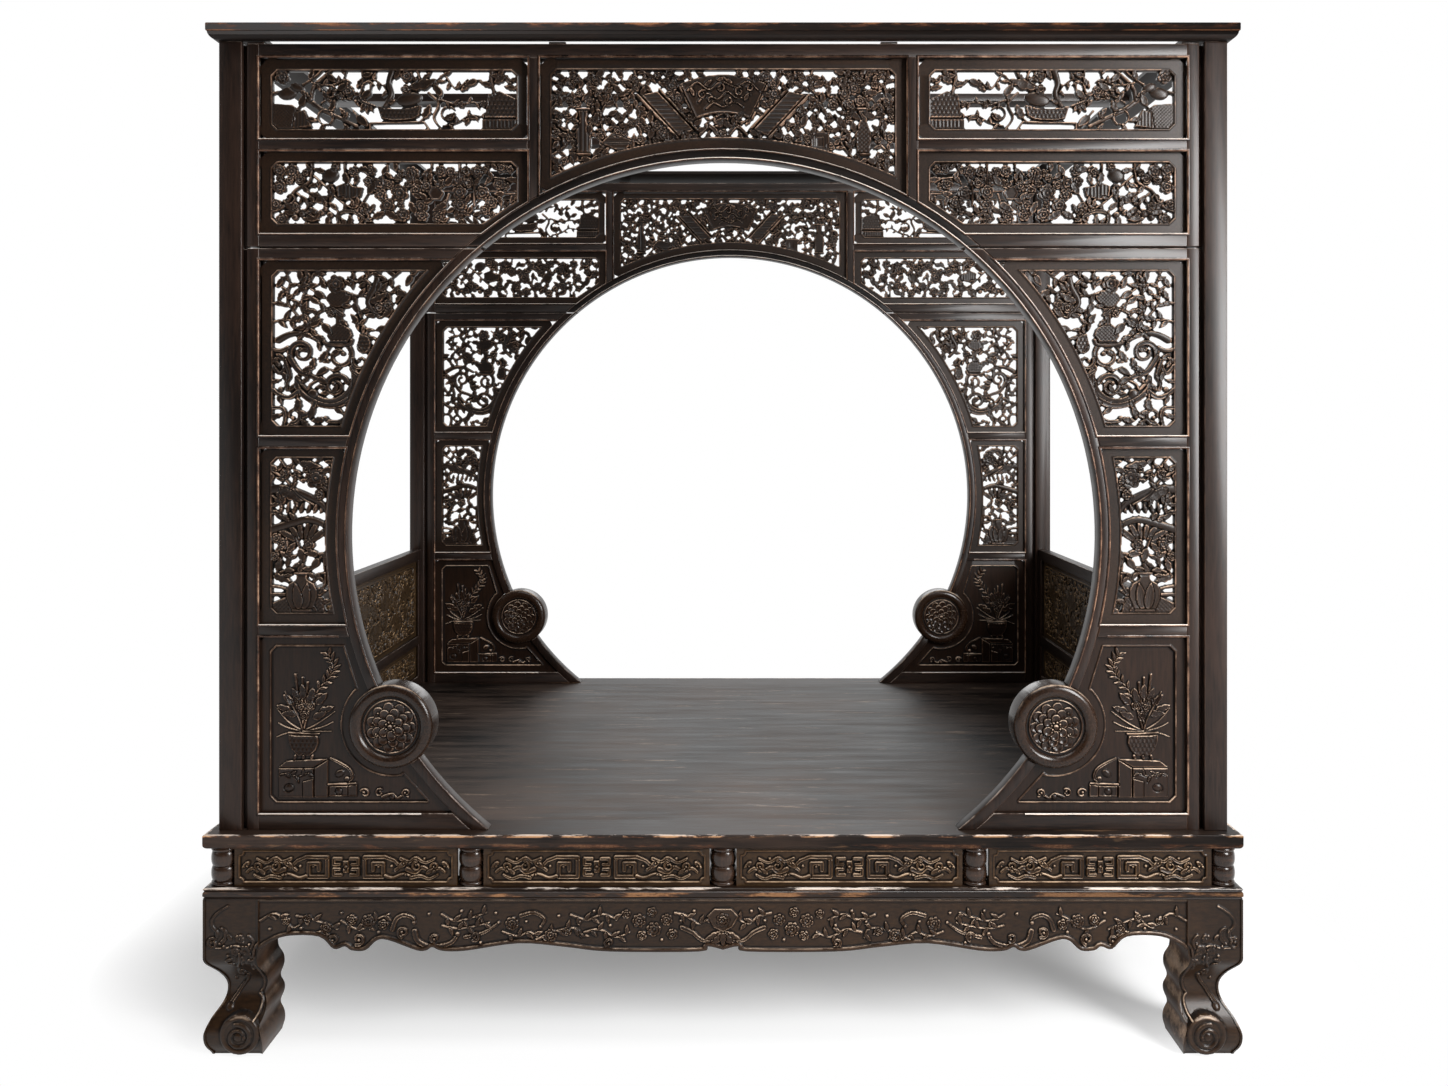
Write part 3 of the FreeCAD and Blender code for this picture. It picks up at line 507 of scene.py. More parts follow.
def beadLoops():
    grow = bead["inset"]
    right, left, ringEdge = gate["stile"] + grow, gate["muntinOuter"] - grow, gate["outer"] - grow
    ends = {name: (opening[2] - grow, opening[3] + grow) for name, opening in openings.items()}
    low, high = ends["upper"]
    loops = [[(left, low), (right, low), (right, high), (left, high)]]
    low, high = ends["shoulder"]
    shoulder = arcPoints(0, gate["height"], ringEdge, math.degrees(math.acos(left / ringEdge)),
                         archAngle(low, ringEdge))
    loops.append([(archX(low, ringEdge), low), (right, low), (right, high), (left, high)] + shoulder[:-1])
    for name in ("scroll", "vase"):
        low, high = ends[name]
        arch = arcPoints(0, gate["height"], ringEdge, archAngle(high, ringEdge), archAngle(low, ringEdge),
                         1.5)
        loops.append([(right, low), (right, high)] + arch)
    inner, high = gate["muntinInner"] + grow, ends["centre"][1]
    corner = math.degrees(math.acos(inner / ringEdge))
    arch = arcPoints(0, gate["height"], ringEdge, 180 - corner, corner)
    loops.append(arch + [(inner, high), (-inner, high)])
    return loops


# open runs of bead: corner panel edges, and the arris of the gate itself
def beadRuns():
    grow, inner = bead["inset"], gate["inner"] + 3.0
    right = gate["stile"] + grow
    low, high = openings["corner"][2] - grow, openings["corner"][3] + grow
    return [[(640, low), (right, low), (right, high), (815, high)],
            arcPoints(0, gate["height"], inner, 90, math.degrees(math.asin(-338 / inner)), 2)]


def screenBeads(prefix, shift):
    parts = []
    lines = [(outline, True) for outline in beadLoops()] + [(outline, False) for outline in beadRuns()]
    for outline, closed in lines:
        for facing in (-1, 1):
            points, faces, wear = sweepPath(outline, beadProfile(), closed)
            points[:, 1] += gate["front"]
            if facing > 0:
                points[:, 1] = 2 * gate["middle"] - points[:, 1]
                faces = [side[:, ::-1] for side in faces]
            points[:, 1] += shift
            parts.append((points, faces, wear))
            other, otherFaces = mirrored(points, faces)
            parts.append((other, otherFaces, wear))
    points, faces, wear = merged(parts)
    makePiece(prefix + "OpeningBeads", points, faces, "bead", wear)


# carving drawn on a grid: a field of distances into the wood, and the height of the relief over it
carvingLook = {"ground": -3.2, "trench": 1.5, "fillGap": 3.2, "webDrop": 1.6}


def gridLines(start, end, fineStart, fineEnd, pitch):
    fine = np.arange(fineStart, fineEnd + pitch * 0.5, pitch)
    return np.unique(np.concatenate([[start, fineStart - 1.0], fine, [fine[-1] + 1.0, end]]))


def spread(mask):
    wider = mask.copy()
    wider[1:] |= mask[:-1]
    wider[:-1] |= mask[1:]
    wider[:, 1:] |= mask[:, :-1]
    wider[:, :-1] |= mask[:, 1:]
    return wider


class Carving:
    def __init__(self, us, vs, seed=1, ground=carvingLook["ground"]):
        self.us, self.vs = us, vs
        self.ground = ground
        self.u, self.v = np.meshgrid(us, vs)
        self.body = np.full(self.u.shape, -60.0)
        self.rise = np.full(self.u.shape, ground)
        self.rub = np.zeros(self.u.shape)
        self.random = np.random.default_rng(seed)

    def patch(self, u0, u1, v0, v1, margin=9.0):
        a, b = np.searchsorted(self.us, (u0 - margin, u1 + margin))
        c, d = np.searchsorted(self.vs, (v0 - margin, v1 + margin))
        return slice(c, max(d, c + 1)), slice(a, max(b, a + 1))

    # a form laid over what is there, with a fine trench round it
    def lay(self, view, inside, height):
        rise = self.rise[view]
        ground = self.ground
        near = np.clip(1 + inside / carvingLook["trench"], 0, 1)
        sunk = rise - (rise - ground) * 0.6 * near
        self.rise[view] = np.where(inside > 0, ground + height, sunk)
        self.body[view] = np.maximum(self.body[view], inside)

    def dome(self, inside, edge, top):
        share = np.clip(inside / edge, 0, 1)
        return top * np.sqrt(1 - (1 - share) ** 2)

    def rimmed(self, inside, top, rim=1.5, dip=1.5, edge=5.0):
        return self.dome(inside, rim, top) - dip * np.clip((inside - rim) / edge, 0, 1)

    # tapering bar along a line of points, round or with raised lips
    def stroke(self, points, start, end=None, top=4.6, lipped=False):
        points = np.asarray(points, float)
        end = start if end is None else end
        runs = np.linalg.norm(np.diff(points, axis=0), axis=1)
        at = np.concatenate([[0], np.cumsum(runs)]) / max(runs.sum(), 1e-6)
        half = start + (end - start) * at
        reach = max(start, end)
        view = self.patch(points[:, 0].min() - reach, points[:, 0].max() + reach,
                          points[:, 1].min() - reach, points[:, 1].max() + reach)
        u, v = self.u[view], self.v[view]
        inside = np.full(u.shape, -60.0)
        for first in range(len(points) - 1):
            p, q = points[first], points[first + 1]
            run = q - p
            share = np.clip(((u - p[0]) * run[0] + (v - p[1]) * run[1]) / max(run @ run, 1e-6), 0, 1)
            away = np.hypot(u - p[0] - share * run[0], v - p[1] - share * run[1])
            inside = np.maximum(inside, half[first] + (half[first + 1] - half[first]) * share - away)
        if lipped:
            height = self.rimmed(inside, top, 1.6, 1.7, max(reach - 2.6, 1.2))
        else:
            height = self.dome(inside, max(reach * 0.8, 1.4), top)
        self.lay(view, inside, height)

    def spiral(self, cx, cz, r0, r1, start, turns, half=4.0, endHalf=1.6, lipped=True, top=4.8):
        angles = np.radians(start + np.linspace(0, 360 * turns, max(8, int(abs(turns) * 26))))
        radii = np.linspace(r0, r1, len(angles))
        points = np.stack([cx + radii * np.cos(angles), cz + radii * np.sin(angles)], 1)
        self.stroke(points, half, endHalf, top, lipped)
        self.ball(points[-1][0], points[-1][1], endHalf * 1.7)

    def ball(self, cx, cz, radius, top=4.6, squash=1.0, turn=0.0, dip=0.0):
        view = self.patch(cx - radius, cx + radius, cz - radius, cz + radius)
        u, v = self.u[view] - cx, self.v[view] - cz
        angle = math.radians(turn)
        along = u * math.cos(angle) + v * math.sin(angle)
        across = (v * math.cos(angle) - u * math.sin(angle)) / squash
        inside = (radius - np.hypot(along, across)) * min(1.0, squash)
        if dip:
            height = self.rimmed(inside, top, 2.2, dip, radius * 0.4)
        else:
            height = self.dome(inside, radius * squash * 0.9, top)
        self.lay(view, inside, height)

    # leaf with a lip, a middle vein and side veins; lobes cut its edge
    def leaf(self, cx, cz, turn, length, width, lobes=0, top=4.6, curl=0.0):
        reach = length + width
        view = self.patch(cx - reach, cx + reach, cz - reach, cz + reach, 4)
        u, v = self.u[view] - cx, self.v[view] - cz
        angle = math.radians(turn)
        along = u * math.cos(angle) + v * math.sin(angle)
        across = v * math.cos(angle) - u * math.sin(angle)
        share = np.clip(along / length, 0, 1)
        across = across - curl * length * share ** 2
        half = width * 0.5 * np.sin(math.pi * share ** 0.75) ** 0.8
        if lobes:
            half = half * (0.74 + 0.3 * np.abs(np.sin(share * math.pi * lobes)))
        beyond = np.maximum(np.maximum(-along, along - length), 0)
        inside = (half - np.abs(across)) * 0.85 - beyond
        veins = 1.0 * np.exp(-(across / 0.9) ** 2)
        veins = veins + 0.6 * np.clip(np.cos((along - np.abs(across) * 1.1) * 2 * math.pi / 5.2), 0, 1)
        height = self.rimmed(inside, top, 1.3, 1.5, width * 0.35) + veins * (inside > 1.0)
        self.lay(view, inside, height)

    def flower(self, cx, cz, radius, petals=5, turn=0.0, top=5.2, layers=2):
        for layer in range(layers):
            reach = radius * (1 - 0.38 * layer)
            view = self.patch(cx - reach, cx + reach, cz - reach, cz + reach, 4)
            u, v = self.u[view] - cx, self.v[view] - cz
            away = np.hypot(u, v)
            angle = np.arctan2(v, u) + math.radians(turn) + layer * math.pi / petals
            petal = np.abs(np.cos(angle * petals / 2))
            inside = (reach * (0.72 + 0.28 * petal ** 0.6) - away) * 0.9
            height = self.rimmed(inside, top * (0.82 + 0.18 * layer), 1.3, 1.4, reach * 0.5)
            height = height - 0.9 * np.exp(-(petal / 0.22) ** 2) * (away > reach * 0.25)
            self.lay(view, inside, height)
        self.ball(cx, cz, radius * 0.2, top)

    # flat form with a raised outline; pattern is a texture cut into it
    def plate(self, points, top=4.4, dip=1.2, pattern=None, rim=1.6, fineness=5.0):
        points = np.asarray(points, float)
        view = self.patch(points[:, 0].min(), points[:, 0].max(), points[:, 1].min(), points[:, 1].max())
        u, v = self.u[view], self.v[view]
        inside = outlineField(u, v, points)
        height = self.rimmed(inside, top, rim, dip, 2.5)
        if pattern:
            deep = inside > rim + 0.8
            height = height + deep * self.texture(pattern, u, v, fineness)
        self.lay(view, inside, height)

    def texture(self, pattern, u, v, size):
        if pattern == "scales":
            row = np.floor(v / size)
            return 2.0 * np.abs(np.sin(math.pi * (u / size + 0.5 * (row % 2)))) * (1 - (v / size - row)) - 0.6
        if pattern == "net":
            rising, falling = np.sin(math.pi * (u + v) / size), np.sin(math.pi * (u - v) / size)
            return 1.9 * np.maximum(np.abs(rising), np.abs(falling)) - 0.9
        if pattern == "upright":
            return 1.7 * np.abs(np.sin(math.pi * u / size)) - 0.6
        return 1.7 * np.abs(np.sin(math.pi * v / size)) - 0.6

    # twigs with leaves and buds grown into the open places until little of the room is left
    def grow(self, room, target, low, high, flowers=0.2):
        total = max(room.sum(), 1)
        for _ in range(60):
            open_ = room & (self.body < -carvingLook["fillGap"])
            if (room & (self.body < 0)).sum() / total < 1 - target or not open_.any():
                break
            slopeV, slopeU = np.gradient(self.body, self.vs, self.us)
            rows, columns = np.nonzero(open_)
            for _ in range(10):
                pick = self.random.integers(len(rows))
                row, column = rows[pick], columns[pick]
                size, lean = self.random.uniform(low, high), self.random.uniform(-60, 60)
                chance = self.random.random()
                depth = -self.body[row, column]
                steep = math.hypot(slopeU[row, column], slopeV[row, column])
                if steep < 0.15 or depth < carvingLook["fillGap"]:
                    continue
                toward = np.array([slopeU[row, column], slopeV[row, column]]) / steep
                place = np.array([self.u[row, column], self.v[row, column]])
                root = place + toward * (depth + 3)
                if depth > 9:
                    root = place + toward * 5
                    self.stroke([place + toward * (depth + 3), root], 2.6, 1.8)
                if chance < flowers:
                    self.flower(place[0], place[1], min(size * 0.5, depth + 5), 5, lean)
                else:
                    turn = math.degrees(math.atan2(-toward[1], -toward[0])) + lean * 0.6
                    length = min(size, 2 * depth + 12)
                    lobes = 3 if chance > 0.6 else 0
                    self.leaf(root[0], root[1], turn, length, length * 0.52, lobes, 4.4, lean / 200)

    # narrow slits close up into a web that lies deeper than the leaves
    def closeSlits(self, room, steps):
        wood = self.body > 0
        grown = wood.copy()
        for _ in range(steps):
            grown = spread(grown)
        shrunk = ~grown
        for _ in range(steps):
            shrunk = spread(shrunk)
        web = room & ~wood & ~shrunk
        self.body[web] = 0.8
        self.rise[web] = self.ground - carvingLook["webDrop"]

    # raised line that runs between two distances of a field
    def mould(self, field, start, width, rise, level=0.0):
        share = np.clip(1 - np.abs(field - start - width / 2) / (width / 2), 0, 1)
        on = share > 0
        height = level + rise * np.sqrt(np.clip(1 - (1 - share) ** 2, 0, 1))
        self.rise = np.where(on, height, self.rise)
        self.rub = np.where(on, np.maximum(self.rub, share * 0.8), self.rub)

    def sprig(self, points, half=1.8, leaf=16, count=6, flowers=False):
        points = np.asarray(points, float)
        self.stroke(points, half, half * 0.6)
        runs = np.linalg.norm(np.diff(points, axis=0), axis=1)
        at = np.concatenate([[0], np.cumsum(runs)])
        for number in range(count):
            place = at[-1] * (number + 0.8) / (count + 0.3)
            x, z = np.interp(place, at, points[:, 0]), np.interp(place, at, points[:, 1])
            segment = min(np.searchsorted(at, place, side="right") - 1, len(runs) - 1)
            run = points[segment + 1] - points[segment]
            side = 1 if number % 2 else -1
            turn = math.degrees(math.atan2(run[1], run[0])) + side * 48
            if flowers and number % 3 == 2:
                self.flower(x, z, leaf * 0.5, 5, number * 31)
            else:
                self.leaf(x, z, turn, leaf, leaf * 0.44, 0, 4.4, 0.15 * side)

    # where the relief stands up from what is round it the lacquer is rubbed through; where it sinks below,
    # the hollow is marked for painted shade
    def finishWear(self, reach=2):
        soft = self.rise.copy()
        for _ in range(reach):
            soft[1:-1] = (soft[:-2] + soft[1:-1] + soft[2:]) / 3
            soft[:, 1:-1] = (soft[:, :-2] + soft[:, 1:-1] + soft[:, 2:]) / 3
        high = np.clip((self.rise - soft) / 1.1, 0, 1) ** 1.3
        # painted shade: hollows below their surroundings get a negative value
        deep = np.clip((soft - self.rise - 0.1) / 0.9, 0, 1)
        rub = np.clip(np.maximum(self.rub, high), 0, 1)
        self.rub = np.where(rub > 0.08, rub, -deep)

    # closed board: front and back follow the relief, walls run round every outline
    def board(self, face, back, mirrorBack=True):
        body = self.body
        inside = body > 0
        number = np.full(body.shape, -1, np.int64)
        number[inside] = np.arange(inside.sum())
        points = [np.stack([self.u[inside], self.v[inside], self.rise[inside], self.rub[inside]], 1)]
        count = len(points[0])

        def crossings(first, second, shift):
            cut = inside[first] != inside[second]
            a, b = body[first][cut], body[second][cut]
            share = np.clip(a / (a - b), 0.04, 0.96)
            made = []
            for field in (self.u, self.v, self.rise, self.rub):
                made.append(field[first][cut] + (field[second][cut] - field[first][cut]) * share)
            low = np.where(a > 0, self.rise[first][cut], self.rise[second][cut])
            made[2] = np.minimum(made[2], low)
            made[3] = np.maximum(made[3], 0.2)
            index = np.full(cut.shape, -1, np.int64)
            index[cut] = np.arange(cut.sum()) + shift
            return index, np.stack(made, 1)

        across, acrossPoints = crossings((slice(None), slice(0, -1)), (slice(None), slice(1, None)), count)
        count += len(acrossPoints)
        upward, upwardPoints = crossings((slice(0, -1), slice(None)), (slice(1, None), slice(None)), count)
        points = np.concatenate(points + [acrossPoints, upwardPoints])
        slots = [number[:-1, :-1], across[:-1, :], number[:-1, 1:], upward[:, 1:],
                 number[1:, 1:], across[1:, :], number[1:, :-1], upward[:, :-1]]
        slots = [slot.ravel() for slot in slots]
        key = sum(((slots[2 * corner] >= 0).astype(int) << corner) for corner in range(4))
        faceSets, walls = [], []
        for case in range(1, 16):
            cells = np.nonzero(key == case)[0]
            if not len(cells):
                continue
            corners = [bool(case & (1 << corner)) for corner in range(4)]
            used = []
            for corner in range(4):
                if corners[corner]:
                    used.append(2 * corner)
                if corners[corner] != corners[(corner + 1) % 4]:
                    used.append(2 * corner + 1)
            faceSets.append(np.stack([slots[slot][cells] for slot in used], 1))
            for first, second in zip(used, used[1:] + used[:1]):
                if first % 2 and second % 2:
                    walls.append(np.stack([slots[first][cells], slots[second][cells]], 1))
        total = len(points)
        front = np.stack([points[:, 0], face - points[:, 2], points[:, 1]], 1)
        height = points[:, 2] if mirrorBack else np.zeros(total)
        rear = np.stack([points[:, 0], back + height, points[:, 1]], 1)
        sides = faceSets + [faces[:, ::-1] + total for faces in faceSets]
        wall = np.concatenate(walls)
        sides.append(np.stack([wall[:, 1], wall[:, 0], wall[:, 0] + total, wall[:, 1] + total], 1))
        wear = np.concatenate([points[:, 3], points[:, 3] if mirrorBack else np.zeros(total)])
        return np.concatenate([front, rear]), sides, wear


# the panels of a screen: a flat border, a bead round the window and the carving inside it
panelLook = {"face": -707.5, "back": -694.5, "bead": 4.6, "beadRise": 2.0, "chamfer": 11.0, "tongue": 7.0,
             "pitch": {"front": 1.75, "rear": 2.6}, "leaves": (22, 36), "slits": {"front": 2, "rear": 1}}
windows = {"upper": (-960, -441, 1956, 2079), "shoulder": (-960, -441, 1755, 1883),
           "centre": (-365, 365, 1700, 2081), "scroll": (-959, -600, 1324, 1652),
           "vase": (-961, -820, 926, 1254), "corner": (-962, -610, 524, 853)}
openings = {"upper": (-985, -415, 1933, 2105), "shoulder": (-985, -415, 1732, 1906),
            "centre": (-389, 389, 1790, 2105), "scroll": (-985, -560, 1303, 1675),
            "vase": (-985, -780, 902, 1275), "corner": (-985, -560, 501, 875)}
windowArch = 849.0


# signed distance into an outline, positive inside
def outlineField(u, v, points):
    points = np.asarray(points, float)
    away = np.full(u.shape, 1e3)
    odd = np.zeros(u.shape, bool)
    for p, q in zip(points, np.roll(points, -1, 0)):
        run = q - p
        share = np.clip(((u - p[0]) * run[0] + (v - p[1]) * run[1]) / max(run @ run, 1e-6), 0, 1)
        away = np.minimum(away, np.hypot(u - p[0] - share * run[0], v - p[1] - share * run[1]))
        if abs(run[1]) > 1e-9:
            odd ^= ((p[1] > v) != (q[1] > v)) & (u < (q[0] - p[0]) * (v - p[1]) / run[1] + p[0])
    return np.where(odd, away, -away)


def rectangle(u, v, x0, x1, z0, z1):
    return np.minimum(np.minimum(u - x0, x1 - u), np.minimum(v - z0, z1 - v))


def chamfered(u, v, x0, x1, z0, z1, cut, corners=(1, 1, 1, 1)):
    field = rectangle(u, v, x0, x1, z0, z1)
    for use, (cx, cz, su, sv) in zip(corners, ((x0, z0, 1, 1), (x1, z0, -1, 1), (x1, z1, -1, -1),
                                               (x0, z1, 1, -1))):
        if use:
            field = np.minimum(field, ((u - cx) * su + (v - cz) * sv - cut) / math.sqrt(2))
    return field


def halfPlane(u, v, p, q):
    run = np.array(q, float) - np.array(p, float)
    run /= np.linalg.norm(run)
    return (v - p[1]) * run[0] - (u - p[0]) * run[1]


def windowField(name, u, v):
    x0, x1, z0, z1 = windows[name]
    cut = panelLook["chamfer"]
    arch = np.hypot(u, v - gate["height"]) - windowArch
    if name == "upper":
        return chamfered(u, v, x0, x1, z0, z1, cut)
    if name == "shoulder":
        field = chamfered(u, v, x0, x1, z0, z1, cut, (1, 0, 1, 1))
        return np.minimum(field, halfPlane(u, v, (-512.3, 1755), (-441, 1803)))
    if name == "centre":
        return np.minimum(chamfered(u, v, x0, x1, z0, z1, cut, (0, 0, 1, 1)), arch)
    if name in ("scroll", "vase"):
        return np.minimum(chamfered(u, v, x0, x1, z0, z1, cut, (1, 0, 0, 1)), arch)
    outline = [(x0 + cut, z0), (-630, z0), (-682, 581)]
    outline += arcPoints(-gate["roundelX"], gate["roundelZ"], 111, -78, -224.6, 6)
    outline += [(-782, 763), (-810, z1), (x0 + cut, z1)]
    return outlineField(u, v, outline + [(x0, z1 - cut), (x0, z0 + cut)])


def panelField(name, u, v):
    x0, x1, z0, z1 = openings[name]
    tongue = panelLook["tongue"]
    field = rectangle(u, v, x0 - tongue, x1 + tongue, z0 - tongue, z1 + tongue)
    field = np.minimum(field, np.hypot(u, v - gate["height"]) - gate["outer"] - 0.5)
    if name == "corner":
        away = np.hypot(u + gate["roundelX"], v - gate["roundelZ"])
        field = np.minimum(field, away - roundel["radius"] - 0.5)
    return field


def panelCarving(name, pitch, seed, ground=carvingLook["ground"]):
    x0, x1, z0, z1 = windows[name]
    o0, o1, p0, p1 = openings[name]
    us = gridLines(o0 - 12, o1 + 12, x0 - 5, x1 + 5, pitch)
    vs = gridLines(p0 - 12, p1 + 12, z0 - 5, z1 + 5, pitch)
    if name != "upper":
        us = np.unique(np.concatenate([us, np.arange(x1, o1 + 8, 5.0)]))
        vs = np.unique(np.concatenate([vs, np.arange(p0, z0, 5.0)]))
    carving = Carving(us, vs, seed, ground)
    window = windowField(name, carving.u, carving.v)
    carving.body = np.minimum(panelField(name, carving.u, carving.v), -window)
    border = -window
    share = np.clip(1 - np.abs(border - panelLook["bead"] / 2) / (panelLook["bead"] / 2), 0, 1)
    mould = panelLook["beadRise"] * np.sqrt(np.clip(1 - (1 - share) ** 2, 0, 1))
    carving.rise = np.where(border > 0, mould, carving.rise)
    carving.rub = np.where((border > -1) & (border < panelLook["bead"]), share, 0)
    return carving, window


# a place given as shares of the panel's window
def placer(name):
    x0, x1, z0, z1 = windows[name]
    return lambda a, b: (x0 + (x1 - x0) * a, z0 + (z1 - z0) * b)


def path(at, *shares):
    return [at(*share) for share in shares]


def curve(at, *shares):
    return smooth(path(at, *shares))


def smooth(points, steps=5):
    points = np.asarray(points, float)
    made = []
    for number in range(len(points) - 1):
        p0 = points[max(number - 1, 0)]
        p1, p2 = points[number], points[number + 1]
        p3 = points[min(number + 2, len(points) - 1)]
        for step in range(steps):
            t = step / steps
            made.append(0.5 * (2 * p1 + (p2 - p0) * t + (2 * p0 - 5 * p1 + 4 * p2 - p3) * t ** 2
                               + (3 * p1 - p0 - 3 * p2 + p3) * t ** 3))
    made.append(points[-1])
    return made


# garden with rocks, a round planter under a tree and a fence
def carveUpper(c, at):
    c.stroke(curve(at, (0.0, 0.62), (0.1, 0.72), (0.17, 0.9), (0.2, 1.02)), 3.2, 2.0)
    c.plate(path(at, (0.0, 0.0), (0.12, 0.0), (0.1, 0.12), (0.12, 0.3), (0.08, 0.42), (0.0, 0.44)), 4.2, 1.0,
            "net", 1.4, 7.5)
    c.plate(path(at, (0.08, 0.0), (0.16, 0.04), (0.13, 0.34), (0.09, 0.28)), 4.8, 1.0, "upright", 1.4, 7.0)
    c.ball(*at(0.06, 0.62), 20, 4.8, 0.62, 15)
    c.ball(*at(0.1, 0.72), 15, 4.4, 0.6, -20)
    c.stroke(curve(at, (0.15, 0.5), (0.2, 0.34), (0.28, 0.18), (0.345, 0.05)), 6.0, 3.6)
    c.stroke(curve(at, (0.155, 0.5), (0.17, 0.75), (0.24, 1.02)), 4.2, 3.0)
    c.spiral(*at(0.215, 0.2), 17, 15, -60, 0.95, 2.6, 1.6)
    c.sprig(curve(at, (0.16, 0.8), (0.22, 0.76), (0.28, 0.82), (0.3, 1.0)), 2.0, 19, 6)
    c.sprig(curve(at, (0.2, 0.45), (0.26, 0.58), (0.31, 0.5), (0.38, 0.52)), 2.0, 18, 6, True)
    for turn in (-60, -90, -122):
        c.leaf(*at(0.385, 0.48), turn, 27, 11)
    c.stroke(curve(at, (0.365, 1.02), (0.37, 0.8), (0.36, 0.52), (0.42, 0.4)), 2.6, 2.0)
    c.sprig(curve(at, (0.37, 0.78), (0.41, 0.86), (0.45, 0.76), (0.47, 0.62)), 1.8, 17, 5)
    c.plate(path(at, (0.428, 0.4), (0.445, 0.18), (0.49, 0.14), (0.57, 0.16), (0.6, 0.22), (0.61, 0.42),
                 (0.56, 0.36), (0.5, 0.35)), 4.6, 1.1, "scales", 1.6, 8.5)
    c.ball(*at(0.56, 0.52), 27, 5.2, 0.52, 12)
    c.stroke(curve(at, (0.49, 1.02), (0.475, 0.8), (0.485, 0.6), (0.46, 0.4)), 6.5, 4.5)
    c.stroke(path(at, (0.4, 0.0), (0.4, 0.1), (0.62, 0.12), (0.64, 0.0)), 2.2)
    c.leaf(*at(0.56, 0.72), 8, 66, 24, 3, 5.2, 0.12)
    c.stroke(curve(at, (0.59, 1.02), (0.6, 0.86), (0.56, 0.74)), 2.6, 1.8)
    c.stroke(curve(at, (0.64, 0.62), (0.68, 0.44), (0.66, 0.2), (0.69, 0.0)), 3.4, 2.2)
    c.sprig(curve(at, (0.66, 0.7), (0.7, 0.94), (0.75, 0.7), (0.8, 0.86)), 2.4, 18, 5)
    c.spiral(*at(0.72, 0.26), 16, 13, 40, 0.9, 2.2, 1.6, False)
    c.sprig(curve(at, (0.69, 0.5), (0.76, 0.42), (0.82, 0.46), (0.88, 0.42)), 2.6, 16, 6, True)
    c.sprig(curve(at, (0.7, 0.05), (0.76, 0.12), (0.81, 0.24), (0.87, 0.2)), 2.0, 15, 6)
    c.plate(path(at, (0.86, 0.0), (1.0, 0.0), (1.0, 0.17), (0.86, 0.17)), 4.2, 1.4, "upright", 1.5, 8.0)
    c.plate(path(at, (0.87, 0.19), (1.0, 0.19), (1.0, 0.52), (0.93, 0.66), (0.885, 0.6)), 4.6, 1.2, "scales",
            1.5, 9.0)
    c.stroke(curve(at, (0.9, 1.02), (0.895, 0.85), (0.91, 0.6)), 4.6, 3.6)
    c.leaf(*at(0.91, 0.8), 30, 34, 15, 3)
    c.leaf(*at(0.9, 0.74), 160, 30, 13, 3)
    c.leaf(*at(1.0, 0.7), 170, 28, 12, 3)


# a dense bed of blossoms, with fruit and a curling vine toward the post
def carveShoulder(c, at):
    c.stroke(curve(at, (0.0, 0.2), (0.05, 0.3), (0.09, 0.55), (0.15, 0.7), (0.16, 1.02)), 3.4, 2.6)
    c.spiral(*at(0.07, 0.42), 14, 5, 200, 1.0, 2.6, 1.6, False)
    c.sprig(curve(at, (0.1, 0.5), (0.14, 0.3), (0.12, 0.1), (0.15, 0.0)), 2.4, 16, 5)
    for a, b, r in ((0.09, 0.1, 7), (0.12, 0.15, 7), (0.1, 0.2, 6), (0.2, 0.18, 7), (0.235, 0.14, 7),
                    (0.215, 0.24, 6)):
        c.ball(*at(a, b), r, 5.2)
    c.ball(*at(0.235, 0.8), 18, 5.4, 0.8, 20)
    c.plate(path(at, (0.26, 0.62), (0.31, 0.7), (0.33, 0.62), (0.37, 0.6), (0.36, 0.44), (0.3, 0.38),
                 (0.265, 0.44)), 5.0, 1.2, "upright", 1.5, 7.5)
    c.sprig(curve(at, (0.17, 0.78), (0.22, 0.6), (0.28, 0.36), (0.36, 0.16), (0.38, 0.0)), 2.6, 19, 8)
    c.stroke(curve(at, (0.27, 0.0), (0.27, 0.16), (0.32, 0.2), (0.37, 0.1), (0.36, 0.02)), 4.4, 3.2, 4.6,
             True)
    for a, b, r, n in ((0.44, 0.66, 17, 6), (0.52, 0.5, 20, 6), (0.47, 0.3, 17, 5), (0.57, 0.82, 17, 8),
                       (0.535, 0.14, 16, 6), (0.63, 0.62, 14, 6), (0.61, 0.28, 15, 5), (0.69, 0.86, 14, 6),
                       (0.76, 0.72, 17, 6), (0.68, 0.1, 14, 6), (0.77, 0.3, 16, 6), (0.84, 0.86, 15, 7),
                       (0.86, 0.5, 16, 6), (0.93, 0.66, 14, 6), (0.94, 0.92, 13, 6), (0.87, 0.22, 12, 5),
                       (0.4, 0.88, 13, 5), (0.33, 0.86, 12, 6)):
        c.flower(*at(a, b), r, n, a * 500)
    c.plate([(at(0.67, 0.5)[0] + 17 * math.cos(k * math.pi / 3),
              at(0.67, 0.5)[1] + 17 * math.sin(k * math.pi / 3)) for k in range(6)], 5.4, 1.8)
    c.leaf(*at(0.46, 0.2), -30, 44, 17, 4)
    c.leaf(*at(0.56, 0.36), -60, 40, 15, 3)


